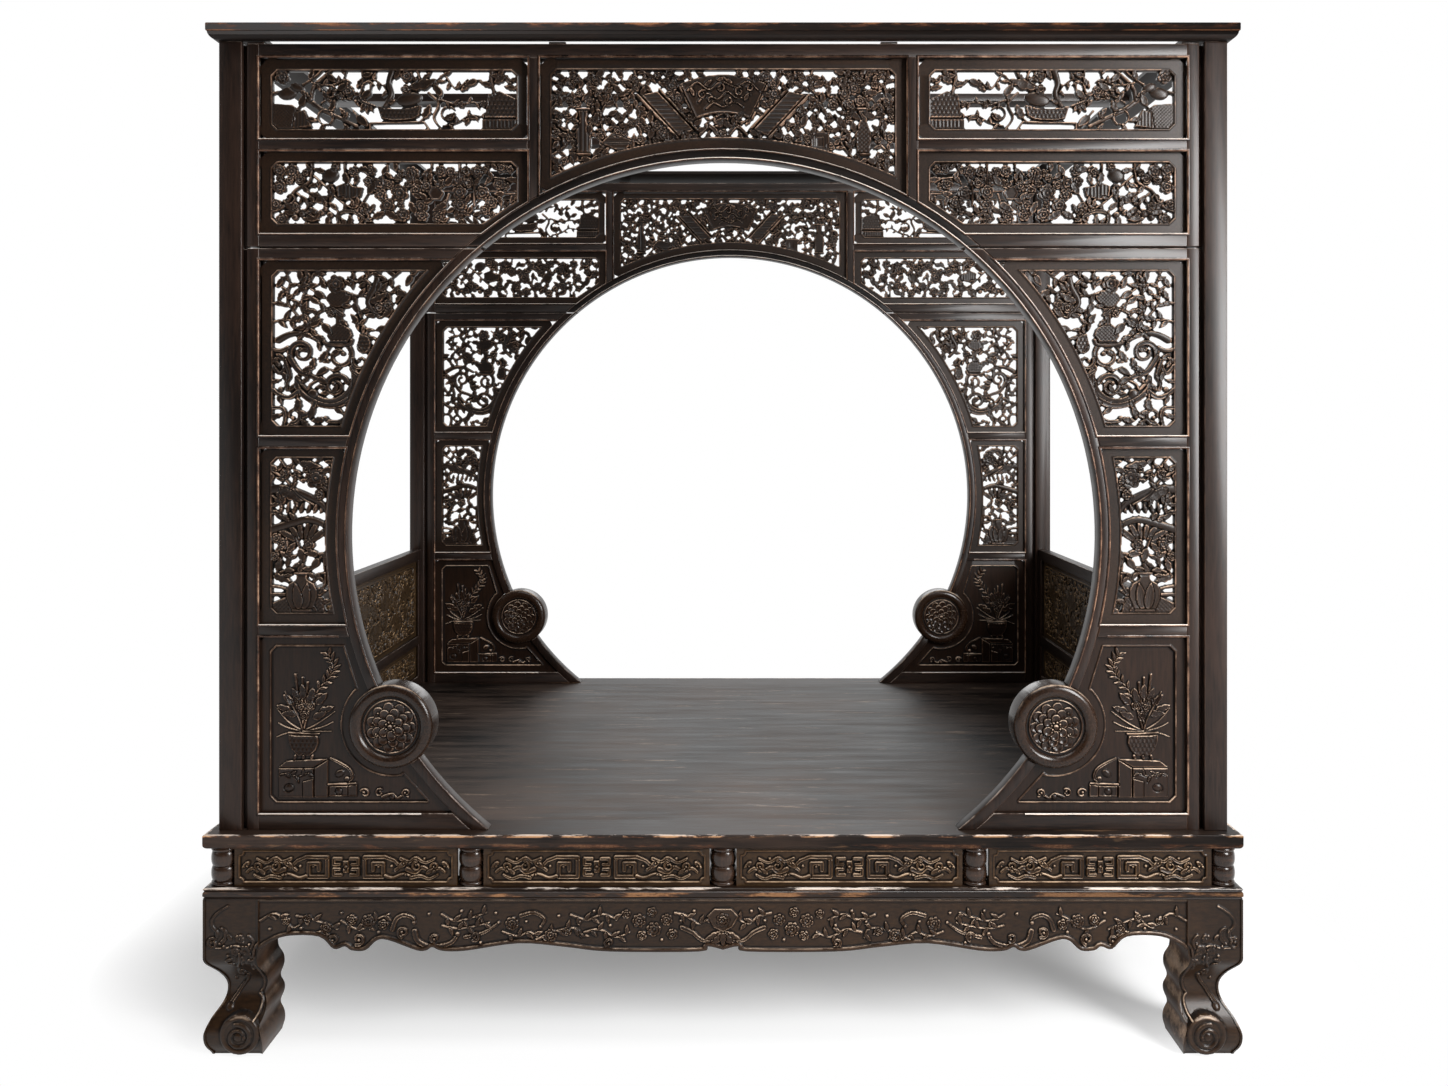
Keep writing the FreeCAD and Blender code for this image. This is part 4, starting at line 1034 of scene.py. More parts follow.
# a fan between two rolled pictures, with vases and blossoms at both ends
def carveCentre(c, at):
    fan = arcPoints(0, 1848, 224, 65.5, 114.5, 5) + arcPoints(0, 1848, 141, 114.5, 65.5, 7)
    for sign in (1, -1):
        c.plate([(sign * x, z) for x, z in ((176, 2028), (140, 2036), (62, 1952), (95, 1940))], 7.4, 1.6,
                "level", 2.0, 9)
        c.stroke([(sign * 182, 2026), (sign * 98, 1936)], 4.0, 4.0, 8.2)
        c.stroke([(sign * 136, 2040), (sign * 56, 1954)], 3.0, 3.0, 8.2)
        c.stroke(smooth([(sign * 12, 1946), (sign * 30, 1962), (sign * 50, 1944)]), 5.0, 3.0, 5.0, True)
        c.sprig(smooth([(0, 1990), (sign * 22, 1978), (sign * 40, 1966)]), 2.6, 15, 4)
        c.sprig(smooth([(sign * 190, 2081), (sign * 185, 2050), (sign * 205, 2010), (sign * 196, 1960)]),
                2.6, 19, 9, True)
        c.sprig(smooth([(sign * 365, 2060), (sign * 320, 2050), (sign * 280, 2070), (sign * 230, 2056)]),
                2.4, 19, 9, True)
        c.sprig(smooth([(sign * 230, 2056), (sign * 160, 2064), (sign * 120, 2078)]), 2.2, 17, 7, True)
        c.sprig(smooth([(sign * 365, 1900), (sign * 330, 1930), (sign * 335, 1990), (sign * 300, 2040)]),
                2.8, 20, 9, True)
        c.sprig(smooth([(sign * 280, 1890), (sign * 250, 1930), (sign * 262, 1980), (sign * 240, 2030)]),
                2.6, 20, 8)
        c.sprig(smooth([(sign * 180, 1925), (sign * 215, 1950), (sign * 225, 1990)]), 2.4, 18, 6, True)
        c.sprig(smooth([(sign * 365, 2000), (sign * 345, 2030), (sign * 350, 2075)]), 2.4, 18, 6)
    c.plate(fan, 7.6, 1.6, None, 2.6)
    for points in (((-76, 2036), (-56, 2054), (-30, 2038), (-4, 2056), (26, 2044), (52, 2056), (74, 2038)),
                   ((-52, 2012), (-34, 2030), (-12, 2018), (8, 2034), (30, 2020), (58, 2028)),
                   ((-36, 1998), (-20, 2010), (0, 2002), (24, 2012), (42, 2002))):
        c.stroke(smooth(points), 2.6, 1.8, 9.0)
    for x, z, r, turns in ((-44, 2028, 10, 1.2), (-6, 2042, 9, -1.1), (34, 2034, 10, 1.2),
                           (10, 2014, 8, -1.1), (-26, 2016, 7, 1.0), (56, 2042, 7, -1.0)):
        c.spiral(x, z, r, 3, 60, turns, 2.4, 1.6, False, 9.2)
    for x, z, turn in ((-62, 2024, 110), (44, 2014, 60), (-14, 2058, 20), (20, 2052, 150), (-40, 2046, 40)):
        c.leaf(x, z, turn, 22, 9, 0, 9.0)
    for sign in (1, -1):
        c.stroke([(sign * 62, 1978), (sign * 96, 2052)], 2.6, 2.6, 8.2)
        c.plate([(sign * x, z) for x, z in ((284, 1900), (312, 1900), (316, 1945), (306, 1972), (309, 2000),
                                            (287, 2000), (290, 1972), (280, 1945))], 7.6, 1.0,
                "upright" if sign < 0 else "net", 2.0, 9)
        c.stroke([(sign * 284, 1998), (sign * 312, 1998)], 3.0, 3.0, 8.0)
        c.stroke([(sign * 284, 1902), (sign * 312, 1902)], 3.0, 3.0, 8.0)
    c.plate([(-262, 1925), (-215, 1905), (-190, 1930), (-238, 1948)], 5.2, 1.2, "level", 1.5, 4)
    c.plate([(186, 1905), (226, 1905), (226, 1950), (186, 1950)], 5.0, 1.8)
    c.plate([(196, 1915), (216, 1915), (216, 1940), (196, 1940)], 3.6, 1.8)


# volutes in the lower half carry a bud vase, and branches in leaf fill the top
def carveScroll(c, at):
    c.spiral(-899, 1479, 26, 7, 200, -1.25, 6.5, 3.0)
    c.spiral(-818, 1473, 32, 8, 140, -1.3, 6.5, 3.2)
    c.stroke(smooth([(-925, 1470), (-905, 1440), (-880, 1430), (-868, 1425)]), 6.0, 5.0, 4.8, True)
    c.spiral(-846, 1424, 62, 44, 20, -0.42, 7.0, 6.5)
    c.stroke(smooth([(-790, 1446), (-782, 1420), (-792, 1385), (-830, 1366), (-872, 1374), (-905, 1400),
                     (-908, 1426)]), 7.5, 6.0, 5.0, True)
    c.spiral(-826, 1408, 26, 7, 20, 1.3, 6.0, 3.0)
    c.stroke(smooth([(-908, 1424), (-888, 1402), (-880, 1412), (-866, 1420)]), 4.0, 2.6)
    c.stroke(smooth([(-959, 1400), (-944, 1388), (-925, 1384), (-906, 1396)]), 4.6, 5.2, 4.8, True)
    c.ball(-944, 1401, 6)
    c.stroke(smooth([(-870, 1374), (-880, 1352), (-902, 1340), (-910, 1330), (-925, 1324)]), 6.0, 4.6, 4.8,
             True)
    c.spiral(-917, 1346, 17, 6, 260, 1.0, 4.6, 2.6)
    c.stroke(smooth([(-959, 1362), (-940, 1360), (-934, 1345), (-938, 1324)]), 4.0, 4.0, 4.8, True)
    c.stroke(smooth([(-800, 1372), (-792, 1356), (-806, 1340), (-822, 1332), (-846, 1334)]), 6.0, 3.6, 4.8,
             True)
    c.ball(-848, 1339, 6)
    c.leaf(-872, 1364, -110, 30, 12)
    c.stroke(smooth([(-959, 1450), (-948, 1436), (-938, 1440), (-935, 1452)]), 4.4, 3.6, 4.8, True)
    c.stroke(smooth([(-934, 1462), (-925, 1430), (-932, 1416), (-930, 1400)]), 4.6, 4.0, 4.8, True)
    c.stroke(smooth([(-959, 1486), (-942, 1484), (-928, 1490)]), 4.0, 5.0)
    c.spiral(-774, 1460, 17, 5, 160, 1.0, 4.2, 2.4)
    c.spiral(-768, 1494, 15, 5, 330, -1.0, 4.0, 2.4)
    c.stroke(smooth([(-790, 1440), (-776, 1428), (-782, 1400), (-796, 1384)]), 4.2, 3.4, 4.8, True)
    c.stroke(smooth([(-852, 1504), (-842, 1497), (-800, 1496), (-792, 1506)]), 4.0, 4.0, 5.0)
    c.plate([(-836, 1502), (-800, 1502), (-790, 1516), (-795, 1530), (-810, 1540), (-828, 1540),
             (-842, 1530), (-845, 1514)], 5.4, 1.2, "net", 1.6, 8)
    c.plate([(-826, 1538), (-812, 1538), (-812, 1562), (-808, 1574), (-832, 1574), (-826, 1562)], 5.2, 1.0)
    c.stroke(smooth([(-812, 1560), (-836, 1574), (-862, 1566), (-872, 1550)]), 4.2, 3.4, 4.8, True)
    c.ball(-866, 1548, 6)
    c.stroke(smooth([(-950, 1506), (-926, 1518), (-896, 1520), (-862, 1504)]), 7.0, 4.0, 4.8)
    c.sprig(smooth([(-905, 1510), (-880, 1540), (-900, 1575), (-890, 1615), (-870, 1652)]), 4.0, 26, 11)
    c.sprig(smooth([(-910, 1560), (-930, 1590), (-925, 1630), (-935, 1652)]), 2.6, 21, 7)
    c.sprig(smooth([(-959, 1545), (-935, 1550), (-905, 1545)]), 2.8, 24, 4)
    c.plate(smooth([(-838, 1580), (-820, 1575), (-800, 1585), (-792, 1602), (-806, 1612), (-836, 1608),
                    (-848, 1594)]), 5.4, 1.0, "net", 1.5, 7.5)
    c.flower(-826, 1626, 20, 6, 10)
    c.leaf(-850, 1616, 110, 30, 14, 3)
    c.sprig(smooth([(-800, 1606), (-770, 1600), (-745, 1612), (-700, 1606)]), 3.0, 24, 8)
    c.stroke(smooth([(-736, 1652), (-742, 1620), (-758, 1585), (-735, 1556)]), 7.0, 5.0)
    c.leaf(-752, 1585, 30, 44, 18, 3)
    c.sprig(smooth([(-790, 1545), (-765, 1535), (-755, 1510)]), 2.6, 20, 6)
    c.plate(smooth([(-775, 1520), (-755, 1512), (-752, 1490), (-765, 1478), (-780, 1498)]), 5.0, 1.0,
            "scales", 1.4, 8)
    c.sprig(smooth([(-690, 1652), (-710, 1636), (-735, 1628)]), 2.6, 22, 4)
    c.sprig(smooth([(-800, 1640), (-780, 1630), (-760, 1640), (-745, 1652)]), 2.6, 22, 5)


# a tall vase on a stand with flowers and long leaves over it
def carveVase(c, at):
    cx = -898
    c.stroke(path(at, (0.0, 0.115), (0.62, 0.115)), 4.5, 3.5)
    c.plate(path(at, (0.0, 0.0), (0.8, 0.0), (0.75, 0.1), (0.3, 0.12), (0.0, 0.06)), 4.4, 1.0, "net", 1.4,
            8.5)
    c.leaf(*at(0.45, 0.09), -40, 44, 18, 4)
    c.leaf(*at(0.55, 0.12), 10, 40, 22, 4)
    c.leaf(*at(0.02, 0.24), -20, 40, 18, 3)
    c.stroke(curve(at, (0.0, 0.17), (0.15, 0.16), (0.3, 0.14)), 4.0, 3.0)
    c.stroke(curve(at, (0.72, 0.13), (0.8, 0.2), (0.78, 0.34), (0.84, 0.44)), 3.0, 2.0)
    c.leaf(*at(0.78, 0.3), 60, 30, 12)
    c.leaf(*at(0.84, 0.36), 160, 24, 12)
    for a, b, turn, length, width in ((0.4, 0.46, 150, 58, 14), (0.42, 0.47, 125, 48, 12),
                                      (0.45, 0.47, 100, 50, 10), (0.5, 0.47, 82, 50, 10),
                                      (0.54, 0.47, 62, 52, 12), (0.58, 0.46, 38, 52, 14)):
        c.leaf(*at(a, b), turn, length, width)
    body = [(12, 1014), (13, 1008), (11, 1000), (14, 994), (26, 988), (33, 974), (33, 958), (25, 938),
            (15, 922), (14, 914), (17, 910)]
    outline = [(cx + x, z) for x, z in body] + [(cx - x, z) for x, z in reversed(body)]
    c.plate(outline, 6.0, 0.9, None, 2.0)
    for side in (1, -1):
        c.leaf(cx + side * 5, 932, 90 - side * 8, 60, 22, 0, 6.6)
    c.stroke([(cx - 14, 1009), (cx + 14, 1009)], 3.0, 3.0, 6.0)
    c.stroke([(cx - 19, 930), (cx + 19, 930)], 3.4, 3.4, 5.6)
    c.stroke(curve(at, (0.0, 0.54), (0.3, 0.58), (0.6, 0.6), (1.0, 0.52)), 8.5, 6.0, 4.8)
    for k in range(7):
        c.leaf(*at(0.12 + 0.1 * k, 0.64), 84 - k * 3, 26, 8)
    c.stroke(curve(at, (0.0, 0.8), (0.2, 0.8), (0.5, 0.76), (0.75, 0.7), (0.86, 0.62)), 9.5, 5.0, 4.8)
    c.leaf(*at(0.1, 0.8), -25, 60, 24, 3)
    c.stroke(curve(at, (0.0, 0.92), (0.2, 0.86), (0.4, 0.76), (0.62, 0.7)), 3.4, 2.4)
    c.sprig(curve(at, (0.1, 1.0), (0.24, 0.92), (0.36, 0.84)), 2.6, 22, 5)
    c.flower(*at(0.66, 0.87), 24, 6, 10)
    c.leaf(*at(0.4, 0.97), -10, 50, 18, 3)
    c.flower(*at(0.9, 0.74), 10, 5, 0)
    c.flower(*at(0.84, 0.55), 11, 5, 0)
    c.sprig(curve(at, (0.3, 1.0), (0.34, 0.9), (0.46, 0.84)), 2.4, 18, 4)


carvers = {"upper": (carveUpper, 0.52, 0.15), "shoulder": (carveShoulder, 0.62, 0.3),
           "centre": (carveCentre, 0.74, 0.3), "scroll": (carveScroll, 0.6, 0.05),
           "vase": (carveVase, 0.7, 0.2)}


def openworkPanels(prefix, shift):
    pitch = panelLook["pitch"][prefix]
    for name, (carver, cover, flowers) in carvers.items():
        carving, window = panelCarving(name, pitch, 7)
        border = carving.rise.copy()
        carver(carving, placer(name))
        carving.grow(window > 1, cover, *panelLook["leaves"], flowers)
        carving.closeSlits(window > 0, panelLook["slits"][prefix])
        carving.rise = np.where(window > 0, carving.rise, border)
        carving.body = np.minimum(carving.body, panelField(name, carving.u, carving.v))
        carving.finishWear()
        points, faces, wear = carving.board(panelLook["face"], panelLook["back"])
        points[:, 1] += shift
        node = prefix + "_" + ("centre_panel" if name == "centre" else name + "_panels")
        sides = (("", False),) if name == "centre" else (("Left", False), ("Right", True))
        for side, flip in sides:
            shown, shownFaces = mirrored(points, faces) if flip else (points, faces)
            makePiece(prefix + name.capitalize() + "Panel" + side, shown, shownFaces, "carved",
                      wear, (node,))
    print(prefix, "openwork carved")


# even grid lines over a board that is carved all over
def allOver(u0, u1, v0, v1, pitch, seed, ground):
    us = np.concatenate([[u0 - 3], np.arange(u0 - 0.7, u1 + 0.7 + pitch * 0.5, pitch), [u1 + 4]])
    vs = np.concatenate([[v0 - 3], np.arange(v0 - 0.7, v1 + 0.7 + pitch * 0.5, pitch), [v1 + 4]])
    return Carving(us, vs, seed, ground)


# the corner panels under the gate: desk things and grasses on a sunk ground
cornerPanel = {"face": -707.5, "back": -694.5, "ground": -4.8, "pitch": {"front": 1.3, "rear": 2.4}}


def carveCorner(c):
    feather = smooth([(-895, 672), (-882, 720), (-862, 762), (-838, 790), (-830, 812), (-843, 838)])
    c.stroke(feather, 2.2, 1.4, 5.0)
    for number in range(8, len(feather) - 1, 2):
        (x, z), (x1, z1) = feather[number], feather[number + 1]
        ahead = math.degrees(math.atan2(z1 - z, x1 - x))
        for side in (1, -1):
            c.leaf(x, z, ahead + side * 38, 20, 7.5, 0, 5.0, 0.1 * side)
    for x0, x1, top in ((-906, -912, 793), (-897, -897, 786), (-890, -886, 776)):
        c.stroke([(-896, 690), (x0, 735), (x1, top)], 2.6, 3.0, 5.4)
    for x, z, turn in ((-915, 735, 128), (-922, 722, 150), (-905, 742, 108), (-884, 740, 70), (-868, 738, 40),
                       (-862, 722, 12), (-908, 716, 170), (-875, 708, 20), (-896, 748, 88)):
        c.leaf(x, z - 8, turn, 34, 17, 2, 5.0, 0.1)
    for x, z, r in ((-900, 724, 12), (-880, 726, 11), (-892, 706, 10), (-908, 738, 8)):
        c.flower(x, z, r, 5, x, 5.4)
    for far in (((-930, 695), (-952, 722)), ((-928, 680), (-948, 690)), ((-930, 668), (-952, 660)),
                ((-905, 700), (-934, 756)), ((-862, 690), (-828, 714)), ((-858, 680), (-832, 692)),
                ((-862, 672), (-836, 672))):
        c.stroke(smooth([(-896, 672), far[0], far[1]]), 2.4, 1.2, 4.8)
    c.plate([(-927, 671), (-920, 666), (-912, 664), (-876, 664), (-868, 666), (-863, 660), (-862, 646),
             (-868, 632), (-880, 620), (-906, 620), (-920, 634), (-926, 650)], 6.6, 0.6, "scales", 2.2, 9)
    c.stroke([(-926, 669), (-862, 667)], 2.8, 2.8, 7.0)
    for x in (-912, -894, -876):
        c.stroke(smooth([(x, 620), (x - 2, 612), (x, 606)]), 3.4, 2.6, 5.2)
    c.plate([(-948, 531), (-873, 531), (-873, 594), (-948, 594)], 4.6, 0.6, None, 2.0)
    c.plate([(-948, 596), (-930, 610), (-842, 614), (-873, 596)], 6.0, 0.4, None, 1.4)
    c.plate([(-871, 531), (-842, 531), (-842, 612), (-871, 594)], 5.8, 0.8, None, 1.6)
    c.plate([(-896, 531), (-873, 531), (-873, 572), (-896, 566)], 6.2, 0.6, None, 1.6)
    c.ball(-926, 552, 11, 5.6, 0.8, 10)
    c.sprig(smooth([(-944, 580), (-926, 584), (-908, 576), (-880, 586)]), 2.0, 15, 5)
    c.plate([(-840, 533), (-800, 533), (-800, 556), (-840, 556)], 4.4, 0.8, None, 1.8)
    c.plate([(-799, 533), (-780, 533), (-780, 562), (-799, 556)], 5.6, 0.8, None, 1.6)
    c.stroke([(-842, 559), (-784, 561)], 2.6, 2.6, 5.6)
    c.ball(-820, 544, 8, 5.4)
    c.stroke(smooth([(-836, 614), (-812, 602), (-796, 590), (-791, 574), (-800, 566)]), 3.0, 3.6, 5.4, True)
    c.ball(-818, 582, 11, 5.4, 0.7, 35)
    c.ball(-802, 570, 6, 5.4)
    c.spiral(-764, 540, 10, 3, 150, -1.0, 3.0, 2.0, False, 5.0)
    c.spiral(-733, 541, 9, 3, 60, 1.0, 2.8, 1.8, False, 5.0)
    c.stroke(smooth([(-726, 532), (-708, 538), (-694, 530), (-680, 538), (-672, 532)]), 4.0, 2.6, 5.0)
    c.ball(-706, 532, 6, 5.0)
    c.spiral(-676, 541, 8, 3, 200, -1.0, 2.6, 1.8, False, 5.0)


def cornerPanels(prefix, shift):
    pitch = cornerPanel["pitch"][prefix]
    carving, window = panelCarving("corner", pitch, 5, cornerPanel["ground"])
    border = carving.rise.copy()
    carveCorner(carving)
    carving.rise = np.where(window > 0, carving.rise, border)
    carving.body = panelField("corner", carving.u, carving.v)
    carving.finishWear()
    points, faces, wear = carving.board(cornerPanel["face"], cornerPanel["back"])
    points[:, 1] += shift
    for side, flip in (("Left", False), ("Right", True)):
        shown, shownFaces = mirrored(points, faces) if flip else (points, faces)
        makePiece(prefix + "CornerPanel" + side, shown, shownFaces, "carvedSolid", wear,
                  (prefix + "_corner_panels",))


# roundels where the gate's arch meets its lower curls: a peony inside two rims
roundel = {"radius": 89.0, "face": -730.0, "back": -672.0, "rim": 62.0, "pitch": 1.25, "ground": -10.0}


def roundelCarving():
    radius, rim = roundel["radius"], roundel["rim"]
    c = allOver(-radius, radius, -radius, radius, roundel["pitch"], 3, roundel["ground"])
    away = np.hypot(c.u, c.v)
    crest = (radius + rim) / 2 - 1
    fall = np.clip(away - crest, 0, None) / (radius + 0.6 - crest)
    outer = -13.0 * (1 - np.sqrt(np.clip(1 - fall ** 2, 0, 1)))
    outer = outer - 7.5 * (np.clip(crest - away, 0, None) / (crest - rim)) ** 2.2
    for layer, (reach, petals, size, lift) in enumerate(((40, 11, 14, 3.2), (29, 9, 13, 5.0),
                                                         (17, 6, 12, 6.8))):
        for petal in range(petals):
            turn = 2 * math.pi / petals * (petal + 0.5 * (layer % 2)) + 0.3 * layer
            x, z = reach * math.cos(turn) + 2, reach * math.sin(turn) - 2
            c.ball(x, z, size, lift + 1.2, 0.86, math.degrees(turn), 2.4)
    for x, z, r in ((0, -1, 7.0), (-8, 5, 3.2), (-2, 9, 3.4), (6, 8, 3.0), (10, 2, 2.8), (8, -6, 3.0),
                    (-8, -5, 3.0)):
        c.ball(x, z, r, 9.4)
    for x, z in ((-36, 8), (-30, -16), (-26, 28)):
        c.ball(x, z, 2.4, 7.2)
    c.rise = np.where(away > rim - 4, -9.5, c.rise)
    c.rise = np.where(away > rim, outer, c.rise)
    # wear along the crest, which also carries a painted highlight there
    c.rub = np.where(np.abs(away - crest) < 4, 0.22, 0)
    c.mould(away, rim - 8.0, 4.0, 3.0, -8.5)
    c.body = radius - away
    c.finishWear(3)
    return c


def roundels():
    points, faces, wear = roundelCarving().board(roundel["face"], roundel["back"], False)
    for prefix, shift in (("front", 0.0), ("rear", gate["rearShift"])):
        for side, sign in (("Left", -1), ("Right", 1)):
            shown, shownFaces = (points, faces) if sign < 0 else mirrored(points, faces)
            shown = shown + (sign * gate["roundelX"], shift, gate["roundelZ"])
            makePiece(prefix + "Roundel" + side, shown, shownFaces, "roundel", wear,
                      ("roundels",))


# waist: carved panels between turned balusters
waist = {"low": 355.0, "high": 435.0, "tongue": 6.0, "face": 739.0, "back": 725.0, "drawn": 238.0,
         "pitch": 1.3, "lift": 6.0, "bold": 1.22}


def waistCarving():
    half, lift = waist["drawn"], waist["lift"]
    c = allOver(-half, half, waist["low"], waist["high"], waist["pitch"], 9, -lift)
    x0, x1, z0, z1 = -half + 12, half - 12, waist["low"] + 10, waist["high"] - 9
    window = chamfered(c.u, c.v, x0, x1, z0, z1, 9)
    for x, z in ((x0, z0), (x0, z1), (x1, z0), (x1, z1)):
        window = np.minimum(window, np.hypot(c.u - x, c.v - z) - 9)
    middle = (waist["low"] + waist["high"]) / 2

    def line(points, first=3.8, last=3.8, lipped=True):
        c.stroke([(sign * x, z) for x, z in points], first * waist["bold"], last * waist["bold"], lift,
                 lipped)

    for sign in (1, -1):
        line([(40, 415), (40, 374), (80, 374), (80, 402), (58, 402), (58, 388)])
        line([(40, 415), (84, 416), (104, 408), (116, 396), (106, 388)], 3.8, 3.0)
        line(smooth([(84, 376), (100, 372), (122, 380), (138, 376)]), 3.6, 2.4, False)
        line([(10, 412), (26, 412), (26, 400), (14, 400)], 3.2, 3.0)
        line([(10, 378), (26, 378), (26, 390), (14, 390)], 3.2, 3.0)
        line(smooth([(118, 412), (136, 406), (150, 414), (170, 404), (190, 412)]), 3.4, 2.4)
        line(smooth([(132, 390), (150, 384), (164, 394), (182, 386), (200, 392), (212, 384)]), 4.4, 2.6)
        line(smooth([(140, 372), (160, 376), (178, 370), (196, 378)]), 3.4, 2.4)
        c.spiral(sign * 152, 396, 11, 3, 90, sign * 1.1, 3.0, 1.8, True, lift)
        c.spiral(sign * 190, 396, 10, 3, 270, sign * -1.1, 3.0, 1.8, True, lift)
        c.leaf(sign * 112, 394, 90 - sign * 60, 26, 12, 0, lift)
        c.leaf(sign * 206, 406, 90 - sign * 130, 22, 10, 0, lift)
        c.leaf(sign * 172, 380, 90 - sign * 50, 20, 9, 0, lift)
        for x, z in ((98, 396), (124, 402), (168, 412), (128, 378), (212, 396), (70, 395)):
            c.ball(sign * x, z, 3.2, lift)
    c.plate([(-6, middle - 13), (6, middle - 13), (6, middle + 13), (-6, middle + 13)], lift, 1.6, None, 1.6)
    c.ball(0, middle, 4.6, lift)
    c.rise = np.where(window > 0, c.rise, -1.6)
    c.mould(-window, 0.0, 4.6, 1.6, -1.6)
    c.body = rectangle(c.u, c.v, -half, half, waist["low"] - waist["tongue"], waist["high"] + waist["tongue"])
    c.finishWear(3)
    return c.board(-waist["face"], -waist["back"], False)


def waistPanels():
    points, faces, wear = waistCarving()
    wide = ((-1028, -560), (-504, -28), (28, 504), (560, 1028))
    short = ((-688, -267), (-211, 211), (267, 688))
    for name, spans, quarter, offset, node in (
            ("waistPanelsFront", wide, 0, 0, "waist_panels_front_rear"),
            ("waistPanelsRight", short, 1, 340, "waist_panels_sides"),
            ("waistPanelsRear", wide, 2, 0, "waist_panels_front_rear"),
            ("waistPanelsLeft", short, 3, 340, "waist_panels_sides")):
        parts = []
        for x0, x1 in spans:
            placed = points * ((x1 - x0 - 0.4) / (2 * waist["drawn"]), 1, 1) + ((x0 + x1) / 2, -offset, 0)
            parts.append((turned(placed, quarter), faces, wear))
        shown, shownFaces, shownWear = merged(parts)
        makePiece(name, shown, shownFaces, "waistCarved", shownWear, (node,))


# turned balusters, two bulges between end beads; the middle ones keep only their front half
baluster = {"radius": 28.0, "neck": 23.5, "around": 44, "rows": 64, "setback": 34.0, "blockBack": 12.0,
            "swells": ((359.0, 4.6), (379.5, 15.5), (411.0, 15.5), (431.0, 4.6))}


def balusterBody(x, offset, full):
    rows = []
    for step in range(baluster["rows"] + 1):
        z = waist["low"] + (waist["high"] - waist["low"]) * step / baluster["rows"]
        swell = max(math.sqrt(max(0.0, 1 - ((z - middle) / half) ** 2))
                    for middle, half in baluster["swells"])
        radius = baluster["neck"] + (baluster["radius"] - baluster["neck"]) * swell
        rows.append((radius, z, 0.5 * max(0.0, swell - 0.9) / 0.1))
    around = baluster["around"]
    points, wear, faces = [], [], []
    for radius, z, rub in rows:
        for step in range(around):
            angle = 2 * math.pi * step / around
            deep = radius * math.sin(angle)
            if not full:
                deep = min(deep, baluster["blockBack"])
            points.append((x + radius * math.cos(angle), baluster["setback"] - offset + deep, z))
            wear.append(rub)
    for row in range(len(rows) - 1):
        for step in range(around):
            following = (step + 1) % around
            faces.append((row * around + step, row * around + following, (row + 1) * around + following,
                          (row + 1) * around + step))
    caps = [[list(range(around))[::-1]], [[(len(rows) - 1) * around + step for step in range(around)]]]
    return np.array(points), [np.array(faces)] + [np.array(cap) for cap in caps], np.array(wear)


def balusters():
    corners = [balusterBody(sign * 1056, 750, True) for sign in (-1, 1)]
    parts = [(turned(points, quarter), faces, wear) for points, faces, wear in corners for quarter in (0, 2)]
    points, faces, wear = merged(parts)
    makePiece("waistBalustersCorner", points, faces, "baluster", wear,
              ("waist_balusters_corner",))
    parts = []
    for stations, offset, quarters in (((-532, 0, 532), 750, (0, 2)), ((-239, 239), 1090, (1, 3))):
        for station in stations:
            points, faces, wear = balusterBody(station, offset, False)
            parts += [(turned(points, quarter), faces, wear) for quarter in quarters]
    points, faces, wear = merged(parts)
    makePiece("waistBalustersMiddle", points, faces, "baluster", wear,
              ("waist_balusters_middle",))


# rails of the deck, the ledge and the cornice, mitred at the corners; rows are (inward, height, wear)
def mitredRail(rows, halfLength, offset, quarter):
    count = len(rows)
    points, wear = [], []
    for sign in (-1, 1):
        for inward, z, rub in rows:
            points.append((sign * (halfLength - inward - 0.12), inward - offset, z))
            wear.append(rub)
    index = np.arange(count)
    following = (index + 1) % count
    faces = np.stack([index, index + count, following + count, following], 1)
    caps = [np.array([index[::-1]]), np.array([index + count])]
    flipped = [faces[:, ::-1]] + [cap[:, ::-1] for cap in caps]
    return turned(np.array(points), quarter), flipped, np.array(wear)


def roundCorner(cx, cz, radius, start, end, steps, rub):
    made = []
    for step in range(steps + 1):
        angle = math.radians(start + (end - start) * step / steps)
        made.append((cx + radius * math.cos(angle), cz + radius * math.sin(angle), rub))
    return made


# wear on the upper rounds of the deck rail and the ledge also sets where their finishes lay a painted
# highlight
deckRows = [(95, 435, 0), (95, 466, 0), (93, 466, 0), (9, 466, 0)]
deckRows += roundCorner(3.0, 463, 3.0, 90, 180, 5, 0.85)
deckRows += [(0, 460, 0.1), (0, 449, 0.0)] + roundCorner(11, 446, 11, 180, 270, 8, 0.3)
ledgeRows = [(70, 330, 0), (70, 355, 0), (68, 355, 0), (9, 355, 0)]
ledgeRows += roundCorner(5.0, 350, 5.0, 90, 160, 5, 0.5)
ledgeRows += [(3.0, 348.4, 0.0)] + roundCorner(13, 341, 13, 164, 196, 7, 0.5)
ledgeRows += [(3.0, 334.8, 0.1)] + roundCorner(5.0, 335, 5.0, 210, 270, 4, 0.1) + [(12, 330, 0)]
corniceRows = [(86, 2161, 0), (86, 2170, 0)] + roundCorner(2.4, 2167.6, 2.4, 90, 180, 4, 0.6)
corniceRows += [(0, 2156, 0.1), (0.6, 2153.4, 0.6)] + roundCorner(18, 2153, 15.5, 180, 262, 10, 0.15)
corniceRows += [(18, 2138, 0.3), (27, 2138, 0.0)]


def mitredFrames():
    frames = (("deckRail", deckRows, 1090, 750, "deckEdge", "deck_lacquer", "deck_rails"),
              ("ledge", ledgeRows, 1090, 750, "ledge", "worn_lacquer", "ledges"),
              ("cornice", corniceRows, 1086, 746, "cornice", "frame_lacquer", "cornice"))
    for name, rows, halfX, halfY, paint, slot, node in frames:
        for side, quarter in (("Front", 0), ("Right", 1), ("Rear", 2), ("Left", 3)):
            halfLength, offset = (halfX, halfY) if quarter % 2 == 0 else (halfY, halfX)
            points, faces, wear = mitredRail(rows, halfLength, offset, quarter)
            ending = "_front_rear" if quarter % 2 == 0 else "_sides"
            makePiece(name + side, points, faces, paint, wear, (node + ending,), 50)


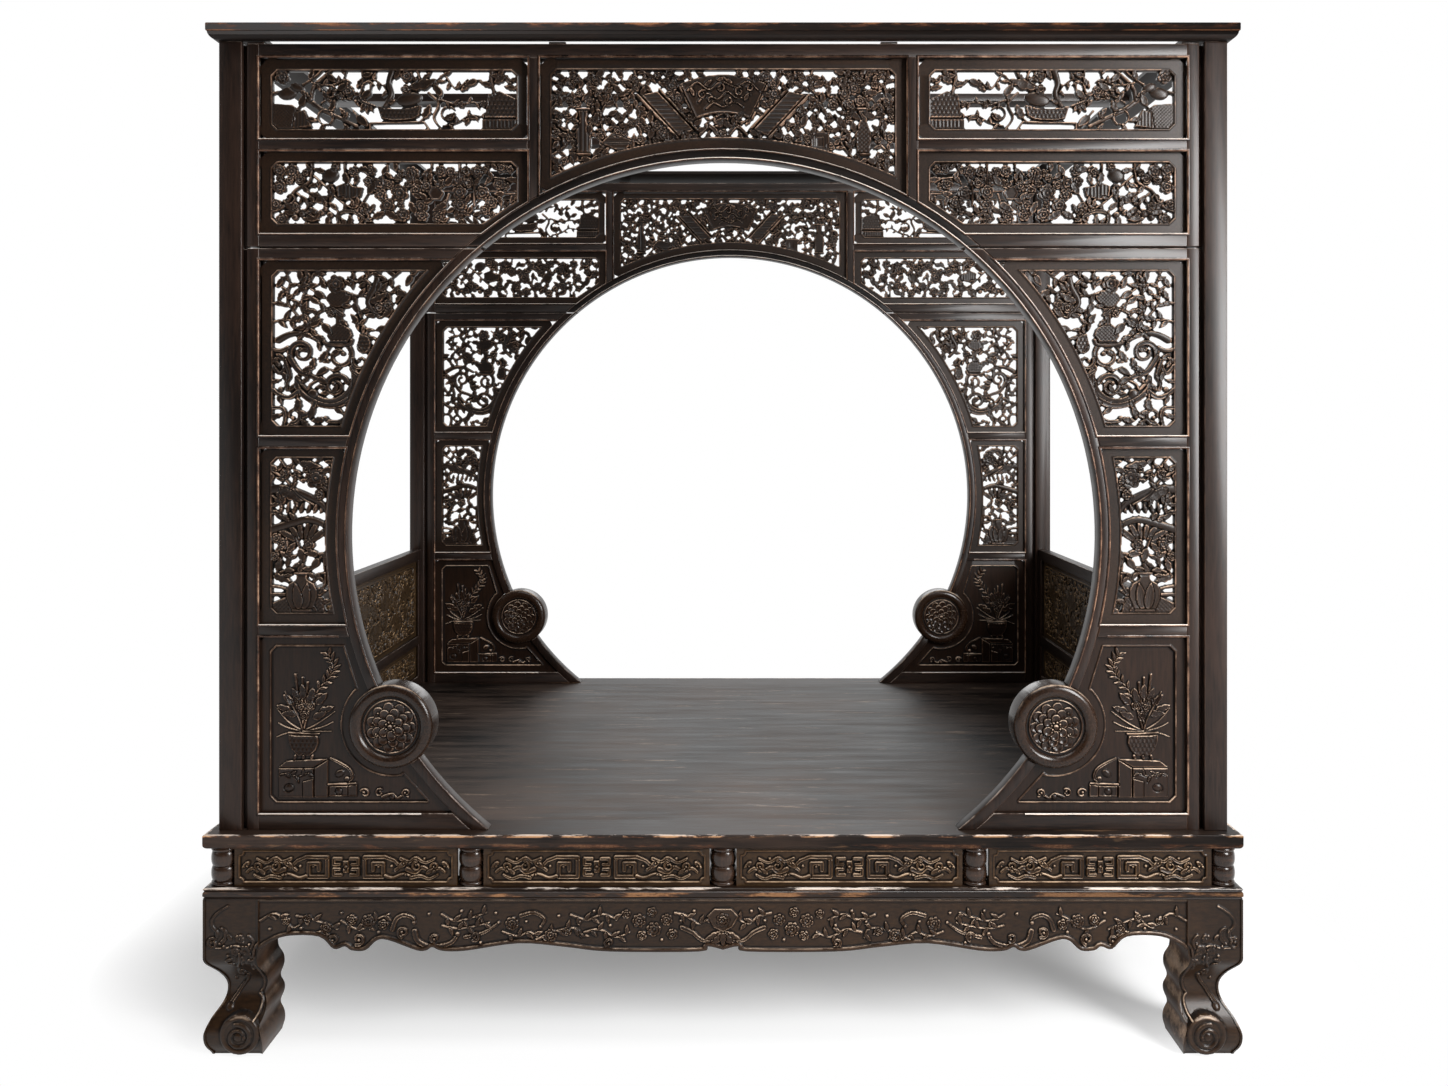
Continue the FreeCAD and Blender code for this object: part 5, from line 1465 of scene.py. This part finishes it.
# aprons with a scalloped edge; shares run from the middle to the leg and from the top to the lowest point
apronEdge = ((1.0, 1.0), (0.983, 0.86), (0.94, 0.7), (0.87, 0.71), (0.838, 0.95), (0.814, 0.9), (0.8, 0.975),
             (0.77, 0.975), (0.745, 0.785), (0.72, 0.78), (0.66, 0.975), (0.638, 0.975), (0.626, 0.915),
             (0.605, 0.985), (0.555, 0.985), (0.44, 0.84), (0.34, 0.91), (0.243, 1.0), (0.052, 1.0),
             (0.033, 0.9), (0.0, 0.965))
apronBoard = {"top": 330.0, "deep": 108.0, "thick": 24.0, "pitch": 1.5, "ground": -5.0, "vineBold": 1.25,
              "hookBold": 1.2, "leaf": 20, "drawn": 973.0}
apronBlossoms = ((916, 286, 10), (870, 291, 9), (832, 272, 12), (778, 288, 12), (743, 285, 15),
                 (712, 278, 12), (442, 280, 15), (361, 256, 14), (326, 264, 10), (176, 286, 15),
                 (149, 304, 11), (145, 268, 16), (118, 288, 13), (106, 258, 12), (170, 255, 11),
                 (203, 300, 10))
apronVines = (
    (((970, 286), (936, 301), (901, 272), (876, 288)), 2.6, 1.8, 4),
    (((893, 296), (850, 286), (808, 268)), 2.6, 2.0, 4),
    (((800, 286), (760, 268), (720, 292), (700, 300)), 2.6, 2.0, 5),
    (((589, 299), (562, 286), (531, 291), (496, 303)), 2.8, 2.0, 6),
    (((588, 276), (556, 270), (524, 274), (490, 282)), 2.4, 1.8, 5),
    (((461, 263), (430, 254), (403, 262), (375, 240)), 2.6, 2.0, 5),
    (((392, 246), (345, 266), (307, 270), (296, 250)), 2.8, 2.0, 6),
    (((318, 298), (284, 288), (252, 300), (222, 288)), 3.0, 2.0, 6),
    (((290, 262), (258, 268), (225, 252), (196, 262)), 2.8, 2.0, 6),
    (((100, 302), (76, 296), (52, 280), (30, 292)), 3.0, 2.2, 5))
apronHooks = (
    (((693, 268), (684, 290), (668, 298), (650, 292), (648, 282)), 4.4, 3.0),
    (((646, 264), (638, 243), (608, 232), (570, 240), (556, 258)), 5.0, 3.4),
    (((423, 297), (396, 303), (374, 290), (382, 274)), 3.8, 2.4),
    (((858, 256), (840, 262), (822, 252)), 4.0, 2.6),
    (((540, 252), (500, 262), (470, 282)), 3.6, 2.2),
    (((86, 272), (64, 262), (44, 246), (22, 244)), 4.2, 2.8))


def carveApron(c, half, edge):
    lift, vineBold, hookBold = -apronBoard["ground"], apronBoard["vineBold"], apronBoard["hookBold"]
    for sign in (1, -1):
        squeeze = sign * half / apronBoard["drawn"]
        for points, first, last, count in apronVines:
            run = smooth([(x * squeeze, z) for x, z in points])
            c.stroke(run, first * vineBold, last * vineBold, lift)
            c.sprig(run, first * vineBold, apronBoard["leaf"], count)
        for points, first, last in apronHooks:
            c.stroke(smooth([(x * squeeze, z) for x, z in points]), first * hookBold, last * hookBold, lift,
                     True)
            c.ball(points[-1][0] * squeeze, points[-1][1], last * 1.6, lift)
        for x, z, r in apronBlossoms:
            c.flower(x * squeeze, z, r, 5 if r < 13 else 7, x, lift)
        for x, z, r, turns in ((816, 246, 12, 1.1), (764, 248, 13, -1.1), (670, 262, 12, 1.2),
                               (520, 254, 10, -1.0), (604, 250, 9, 1.0), (238, 240, 10, 1.0)):
            c.spiral(x * squeeze, z, r, 3.5, 250, turns * sign, 3.8, 2.2, True, lift)
        for x, z in ((950, 268), (884, 270), (800, 302), (722, 262), (616, 300), (548, 306), (476, 302),
                     (412, 284), (344, 296), (270, 306), (236, 276), (300, 284), (128, 246), (88, 286),
                     (60, 306), (508, 240)):
            c.ball(x * squeeze, z, 3.8, lift)
    c.plate([(-34, 296), (-18, 312), (18, 312), (34, 296), (20, 272), (0, 262), (-20, 272)], lift, 1.8, None,
            2.4)
    c.flower(0, 288, 15, 7, 0, lift, 2)
    for turn in (-20, -50, 200, 230, -90):
        c.leaf(0, 262, turn, 40 if turn != -90 else 30, 15, 3, lift)
    c.mould(edge, -1.5, 10.5, 4.6, apronBoard["ground"])
    c.rise = np.where(edge < 0.4, np.maximum(c.rise, -2.4), c.rise)
    c.rub = np.where((edge > 2.2) & (edge < 5.6), 0.55, c.rub * 0.6)
    margin = apronBoard["top"] - c.v
    c.rise = np.where(margin < 5, np.maximum(c.rise, -2.2), c.rise)
    c.rise = np.where(margin < 2.4, -0.8 - margin * 0.2, c.rise)
    # a light line along the top arris: a painted highlight, carried in the wear field
    c.rub = np.where(margin < 2.4, 0.6, c.rub)
    c.rise = np.minimum(c.rise, 0.0)  # nothing stands proud of the board


def aprons():
    for name, half, offset, quarters, node in (("Long", 973.0, 750, (0, 2), "aprons_front_rear"),
                                               ("Short", 633.0, 1090, (1, 3), "aprons_sides")):
        right = smooth([(half * along, apronBoard["top"] - apronBoard["deep"] * down)
                        for along, down in apronEdge], 4)
        right = [tuple(point) for point in right]
        left = [(-x, z) for x, z in reversed(right)]
        c = allOver(-half, half, 221, 330, apronBoard["pitch"], 4, apronBoard["ground"])
        beyond, corner = half + 40, right[0][1]
        edge = outlineField(c.u, c.v, [(-beyond, 380), (beyond, 380), (beyond, corner)] + right + left
                            + [(-beyond, corner)])
        carveApron(c, half, edge)
        c.body = np.minimum(edge, rectangle(c.u, c.v, -half + 0.2, half - 0.2, 200, 330))
        c.finishWear(3)
        points, faces, wear = c.board(-offset, -offset + apronBoard["thick"], False)
        for quarter in quarters:
            makePiece("apron" + name + ("First" if quarter < 2 else "Second"), turned(points, quarter), faces,
                      "baseCarved", wear, (node,))


# legs: square in plan, both outer faces carved, the section follows the curves of the knee and the scroll
leg = {"height": 330.0, "side": 117.0, "levels": 190, "across": 62, "ground": -4.4, "pitch": 1.1,
       "innerWear": 0.8, "boss": (76.0, 46.0), "bossRadius": 43.0, "bossRise": 12.0}
legOuterShares = ((0.0, 1.0), (0.0, 0.63), (0.0, 0.6), (0.205, 0.51), (0.295, 0.45), (0.32, 0.395),
                  (0.29, 0.335), (0.205, 0.28), (0.15, 0.26), (0.085, 0.22), (0.05, 0.19), (0.012, 0.16),
                  (0.0, 0.12), (0.03, 0.06), (0.134, 0.0))
legInnerShares = ((1.0, 1.0), (1.0, 0.675), (0.965, 0.62), (0.968, 0.585), (0.975, 0.55), (1.04, 0.51),
                  (1.062, 0.45), (1.04, 0.405), (0.985, 0.365), (1.04, 0.325), (1.07, 0.275), (1.04, 0.23),
                  (0.985, 0.19), (1.045, 0.14), (1.07, 0.08), (1.05, 0.03), (1.015, 0.0))


def legReach(shares, z):
    heights = np.array([share[1] for share in shares])[::-1] * leg["height"]
    values = np.array([share[0] for share in shares])[::-1] * leg["side"]
    return np.mean([np.interp(z + shift, heights, values) for shift in (-8, -4, 0, 4, 8)], axis=0)


def legCarving():
    c = allOver(0, 126, 0, 330, leg["pitch"], 6, leg["ground"])
    outer = legReach(legOuterShares, c.v)
    inner = legReach(legInnerShares, c.v)
    lift = -leg["ground"]
    away = np.hypot(c.u - leg["boss"][0], c.v - leg["boss"][1])
    disc = leg["bossRadius"] - away
    cx, cz = leg["boss"][0] - 3, leg["boss"][1] - 5
    c.rise = np.where(disc > 0, leg["ground"] + 0.3, c.rise)
    c.mould(disc, 1.5, 11.0, 3.0, leg["ground"] + 0.3)
    c.spiral(cx, cz, 27, 11, 100, -1.3, 5.5, 3.5, False, lift)
    c.ball(cx, cz, 9.5, lift)
    c.rise = np.where(np.abs(disc) < 1.5, leg["ground"] - 1.0, c.rise)
    c.stroke(smooth([(84, 162), (79, 148), (67, 132), (57, 116), (48, 102)]), 3.6, 4.2, lift, True)
    c.ball(46, 95, 7.5, lift)
    ridge = smooth([(121, 244), (110, 232), (106, 214), (107, 186), (112, 164), (116, 148), (112, 128),
                    (106, 120)])
    c.stroke(ridge, 2.8, 2.8, lift + 0.6)
    c.stroke(smooth([(106, 118), (113, 108), (112, 90), (106, 76)]), 3.2, 2.8, lift + 0.6)
    c.stroke(smooth([(52, 316), (33, 304), (20, 290), (19, 276), (28, 264)]), 2.8, 3.6, lift)
    c.stroke(smooth([(38, 270), (47, 263), (47, 250), (40, 241)]), 3.2, 4.4, lift, True)
    c.spiral(20, 238, 12, 3.5, 60, 1.2, 3.6, 2.2, True, lift)
    c.stroke(smooth([(28, 229), (48, 229), (70, 234), (86, 228)]), 2.6, 2.2, lift)
    dots = ((36, 238), (44, 232), (60, 232), (52, 212), (82, 194), (70, 174), (84, 242), (100, 178),
            (56, 152), (97, 236))
    for x, z in dots:
        c.ball(x, z, 3.6, lift)
    for x, z, r in ((77, 248, 10), (67, 222, 10), (88, 224, 11), (73, 168, 9), (78, 204, 9)):
        c.flower(x, z, r, 5, x, lift, 1)
    c.stroke(smooth([(96, 254), (105, 242), (101, 228)]), 3.6, 2.6, lift, True)
    c.stroke(smooth([(88, 220), (100, 212), (104, 196), (100, 184)]), 3.4, 2.4, lift, True)
    c.stroke(smooth([(76, 218), (77, 200), (70, 184)]), 2.8, 2.4, lift)
    for x, z, turn in ((62, 206, 200), (92, 200, 20), (66, 190, 160), (60, 244, 120), (30, 250, 90)):
        c.leaf(x, z, turn, 18, 9, 0, lift)
    edge = np.minimum(c.u - outer, inner - c.u)
    c.rise = np.where(c.u - outer < 3, leg["ground"], c.rise)
    c.rise = np.where((inner - c.u < 5) & (disc < 0), np.maximum(c.rise, leg["ground"] + 1.4), c.rise)
    c.rub = np.where(edge < 1.8, np.maximum(c.rub, 0.45), c.rub * 0.8)
    c.finishWear(3)
    return c


def sampled(field, us, vs, u, v):
    column = np.clip(np.searchsorted(us, u) - 1, 0, len(us) - 2)
    row = np.clip(np.searchsorted(vs, v) - 1, 0, len(vs) - 2)
    a = np.clip((u - us[column]) / (us[column + 1] - us[column]), 0, 1)
    b = np.clip((v - vs[row]) / (vs[row + 1] - vs[row]), 0, 1)
    low = field[row, column] * (1 - a) + field[row, column + 1] * a
    high = field[row + 1, column] * (1 - a) + field[row + 1, column + 1] * a
    return low * (1 - b) + high * b


# how deep a carved face lies at one level, how far its arris is eased, and its wear
def legFace(c, run, outer, level):
    carved = -sampled(c.rise, c.us, c.vs, run, level)
    ease = 2.2 * np.clip(1 - (run - outer) / 2.6, 0, 1) ** 2
    deep = outer + np.minimum(carved, 5.0) * np.clip((run - outer) / 1.5, 0, 1)
    return deep, ease, sampled(c.rub, c.us, c.vs, run, level)


def legBody():
    c = legCarving()
    levels, across = leg["levels"], leg["across"]
    z = np.linspace(0, leg["height"], levels + 1)
    outer, inner = legReach(legOuterShares, z), legReach(legInnerShares, z)
    share = np.linspace(0, 1, across + 1)[:-1]
    around = 4 * across
    points = np.zeros((levels + 1, around, 3))
    wear = np.zeros((levels + 1, around))
    for at in range(levels + 1):
        run = outer[at] + (inner[at] - outer[at]) * share
        flipped = outer[at] + inner[at] - run
        level, back = np.full(across, z[at]), np.full(across, inner[at])
        deep, ease, rub = legFace(c, run, outer[at], level)
        within = leg["bossRadius"] - np.hypot(run - leg["boss"][0], z[at] - leg["boss"][1])
        proud = np.clip(within / 1.2, 0, 1) * min(outer[at], leg["bossRise"])
        first = np.stack([run, np.maximum(deep - proud, 0.0) + ease, level], 1)
        second = np.stack([back, run, level], 1)
        third = np.stack([flipped, back, level], 1)
        deep, ease, rubBack = legFace(c, flipped, outer[at], level)
        fourth = np.stack([np.maximum(deep, 0.0) + ease, flipped, level], 1)
        points[at] = np.concatenate([first, second, third, fourth])
        wear[at] = np.concatenate([rub, np.full(2 * across, leg["innerWear"]), rubBack])
    index = np.arange((levels + 1) * around).reshape(levels + 1, around)
    following = np.roll(index, -1, 1)
    faces = np.stack([index[:-1], following[:-1], following[1:], index[1:]], -1).reshape(-1, 4)
    caps = [index[0][::-1][None, :], index[-1][None, :]]
    return points.reshape(-1, 3), [faces] + caps, wear.ravel()


def legs():
    points, faces, wear = legBody()
    flipped = [np.asarray(side)[:, ::-1] for side in faces]
    for name, signX, signY, node in (("FrontLeft", 1, 1, "legs_front"), ("FrontRight", -1, 1, "legs_front"),
                                     ("RearLeft", 1, -1, "legs_rear"), ("RearRight", -1, -1, "legs_rear")):
        placed = (points + (-1090, -750, 0)) * (signX, signY, 1)
        makePiece("leg" + name, placed, faces if signX * signY > 0 else flipped, "baseCarved",
                  wear, (node,), 50)


# railing panels: cartouches of scrollwork, carved alike on both faces
railing = {"x": 1044.0, "half": 644.0, "lower": (497.0, 599.0), "upper": (629.0, 878.0), "thick": 16.0,
           "pitch": 2.2}


def railingCarving(low, high, tall):
    half = railing["half"]
    c = allOver(-half, half, low, high, railing["pitch"], 8, -3.4)
    middle = (low + high) / 2
    frame = chamfered(c.u, c.v, -half + 22, half - 22, low + 18, high - 18, 14)
    reach = (high - low) / 2 - 34
    count = 5 if tall else 7
    for sign in (1, -1):
        for number in range(count):
            x = 70 + number * (half - 130) / count
            up = 1 if number % 2 else -1
            c.spiral(sign * (x + 30), middle + up * reach * 0.25, reach * 0.62, reach * 0.15, 90 * up,
                     sign * up * 1.3, 5.0 if tall else 3.2, 2.4, True, 3.4)
            for lean in (25, 65, 110, 160):
                c.leaf(sign * (x + 44), middle - up * reach * 0.2,
                       (-up * lean) if sign > 0 else 180 + up * lean, reach * 0.8, reach * 0.34, 3, 3.4)
            if tall:
                c.flower(sign * (x + 30), middle + up * reach * 0.25, reach * 0.26, 7, x, 3.4)
        for rise in (1, -1):
            c.spiral(sign * (half - 62), middle + rise * (reach - 8), 18, 5, 0 if sign < 0 else 180,
                     sign * rise * 1.1, 3.4, 2.0, True, 3.4)
            c.leaf(sign * (half - 46), middle + rise * (reach + 6), 90 + sign * 90, 60, 18, 3, 3.4)
    c.flower(0, middle, reach * 0.62, 9, 0, 3.4)
    c.grow(frame > 3, 0.7, 20, 32, 0.1)
    c.rise = np.where(frame > 0, c.rise, -1.8)
    c.mould(-frame, 0.0, 5.0, 1.8, -1.8)
    c.finishWear()
    return c


def railingPanels():
    for name, tall in (("lower", False), ("upper", True)):
        low, high = railing[name]
        c = railingCarving(low, high, tall)
        c.body = rectangle(c.u, c.v, -railing["half"], railing["half"], low, high)
        face = -railing["x"] - railing["thick"] / 2
        points, faces, wear = c.board(face, face + railing["thick"])
        for side, quarter in (("Right", 1), ("Left", 3)):
            makePiece("railing" + name.capitalize() + side, turned(points, quarter), faces, "railingCarved",
                      wear, ("railing_" + name + "_panels",))


for prefix, shift in (("front", 0.0), ("rear", gate["rearShift"])):
    screenBeads(prefix, shift)
    for part, paint in (("transom_top_rail", "frameAcross"), ("transom_stiles", "frameUp"),
                        ("transom_muntins", "frameUp"), ("transom_rails", "frameAcross"),
                        ("crown_arch", "frameRingShade"), ("side_stiles", "frameUp"),
                        ("side_rails", "frameAcross"), ("side_arches", "frameUp"), ("gate_tails", "frameUp")):
        rounded = part.endswith("arch") or part.endswith("arches") or part == "gate_tails"
        easedPiece(prefix + "_" + part, paint, easing["roundWidth" if rounded else "width"])
    for side in ("left", "right"):
        easedPiece("post_" + prefix + "_" + side, "frameUp")
for node, paint in (("railing_sill_rails", "frameDeep"), ("railing_middle_rails", "frameDeep"),
                    ("railing_top_rails", "frameDeep"), ("railing_stiles", "frameUp"),
                    ("canopy_battens", "frameAcross"), ("canopy_spacers", "frameUp")):
    easedPiece(node, paint)
for node, paint in (("deck_boards", "deck"), ("deck_battens", "rawWood")):
    nodes[node].data.materials.clear()
    nodes[node].data.materials.append(paints[paint])
print("frames eased")
for prefix, shift in (("front", 0.0), ("rear", gate["rearShift"])):
    openworkPanels(prefix, shift)
    cornerPanels(prefix, shift)
roundels()
print("roundels carved")
waistPanels()
balusters()
mitredFrames()
print("waist and frames built")
aprons()
legs()
print("base carved")
railingPanels()
print("railings carved")
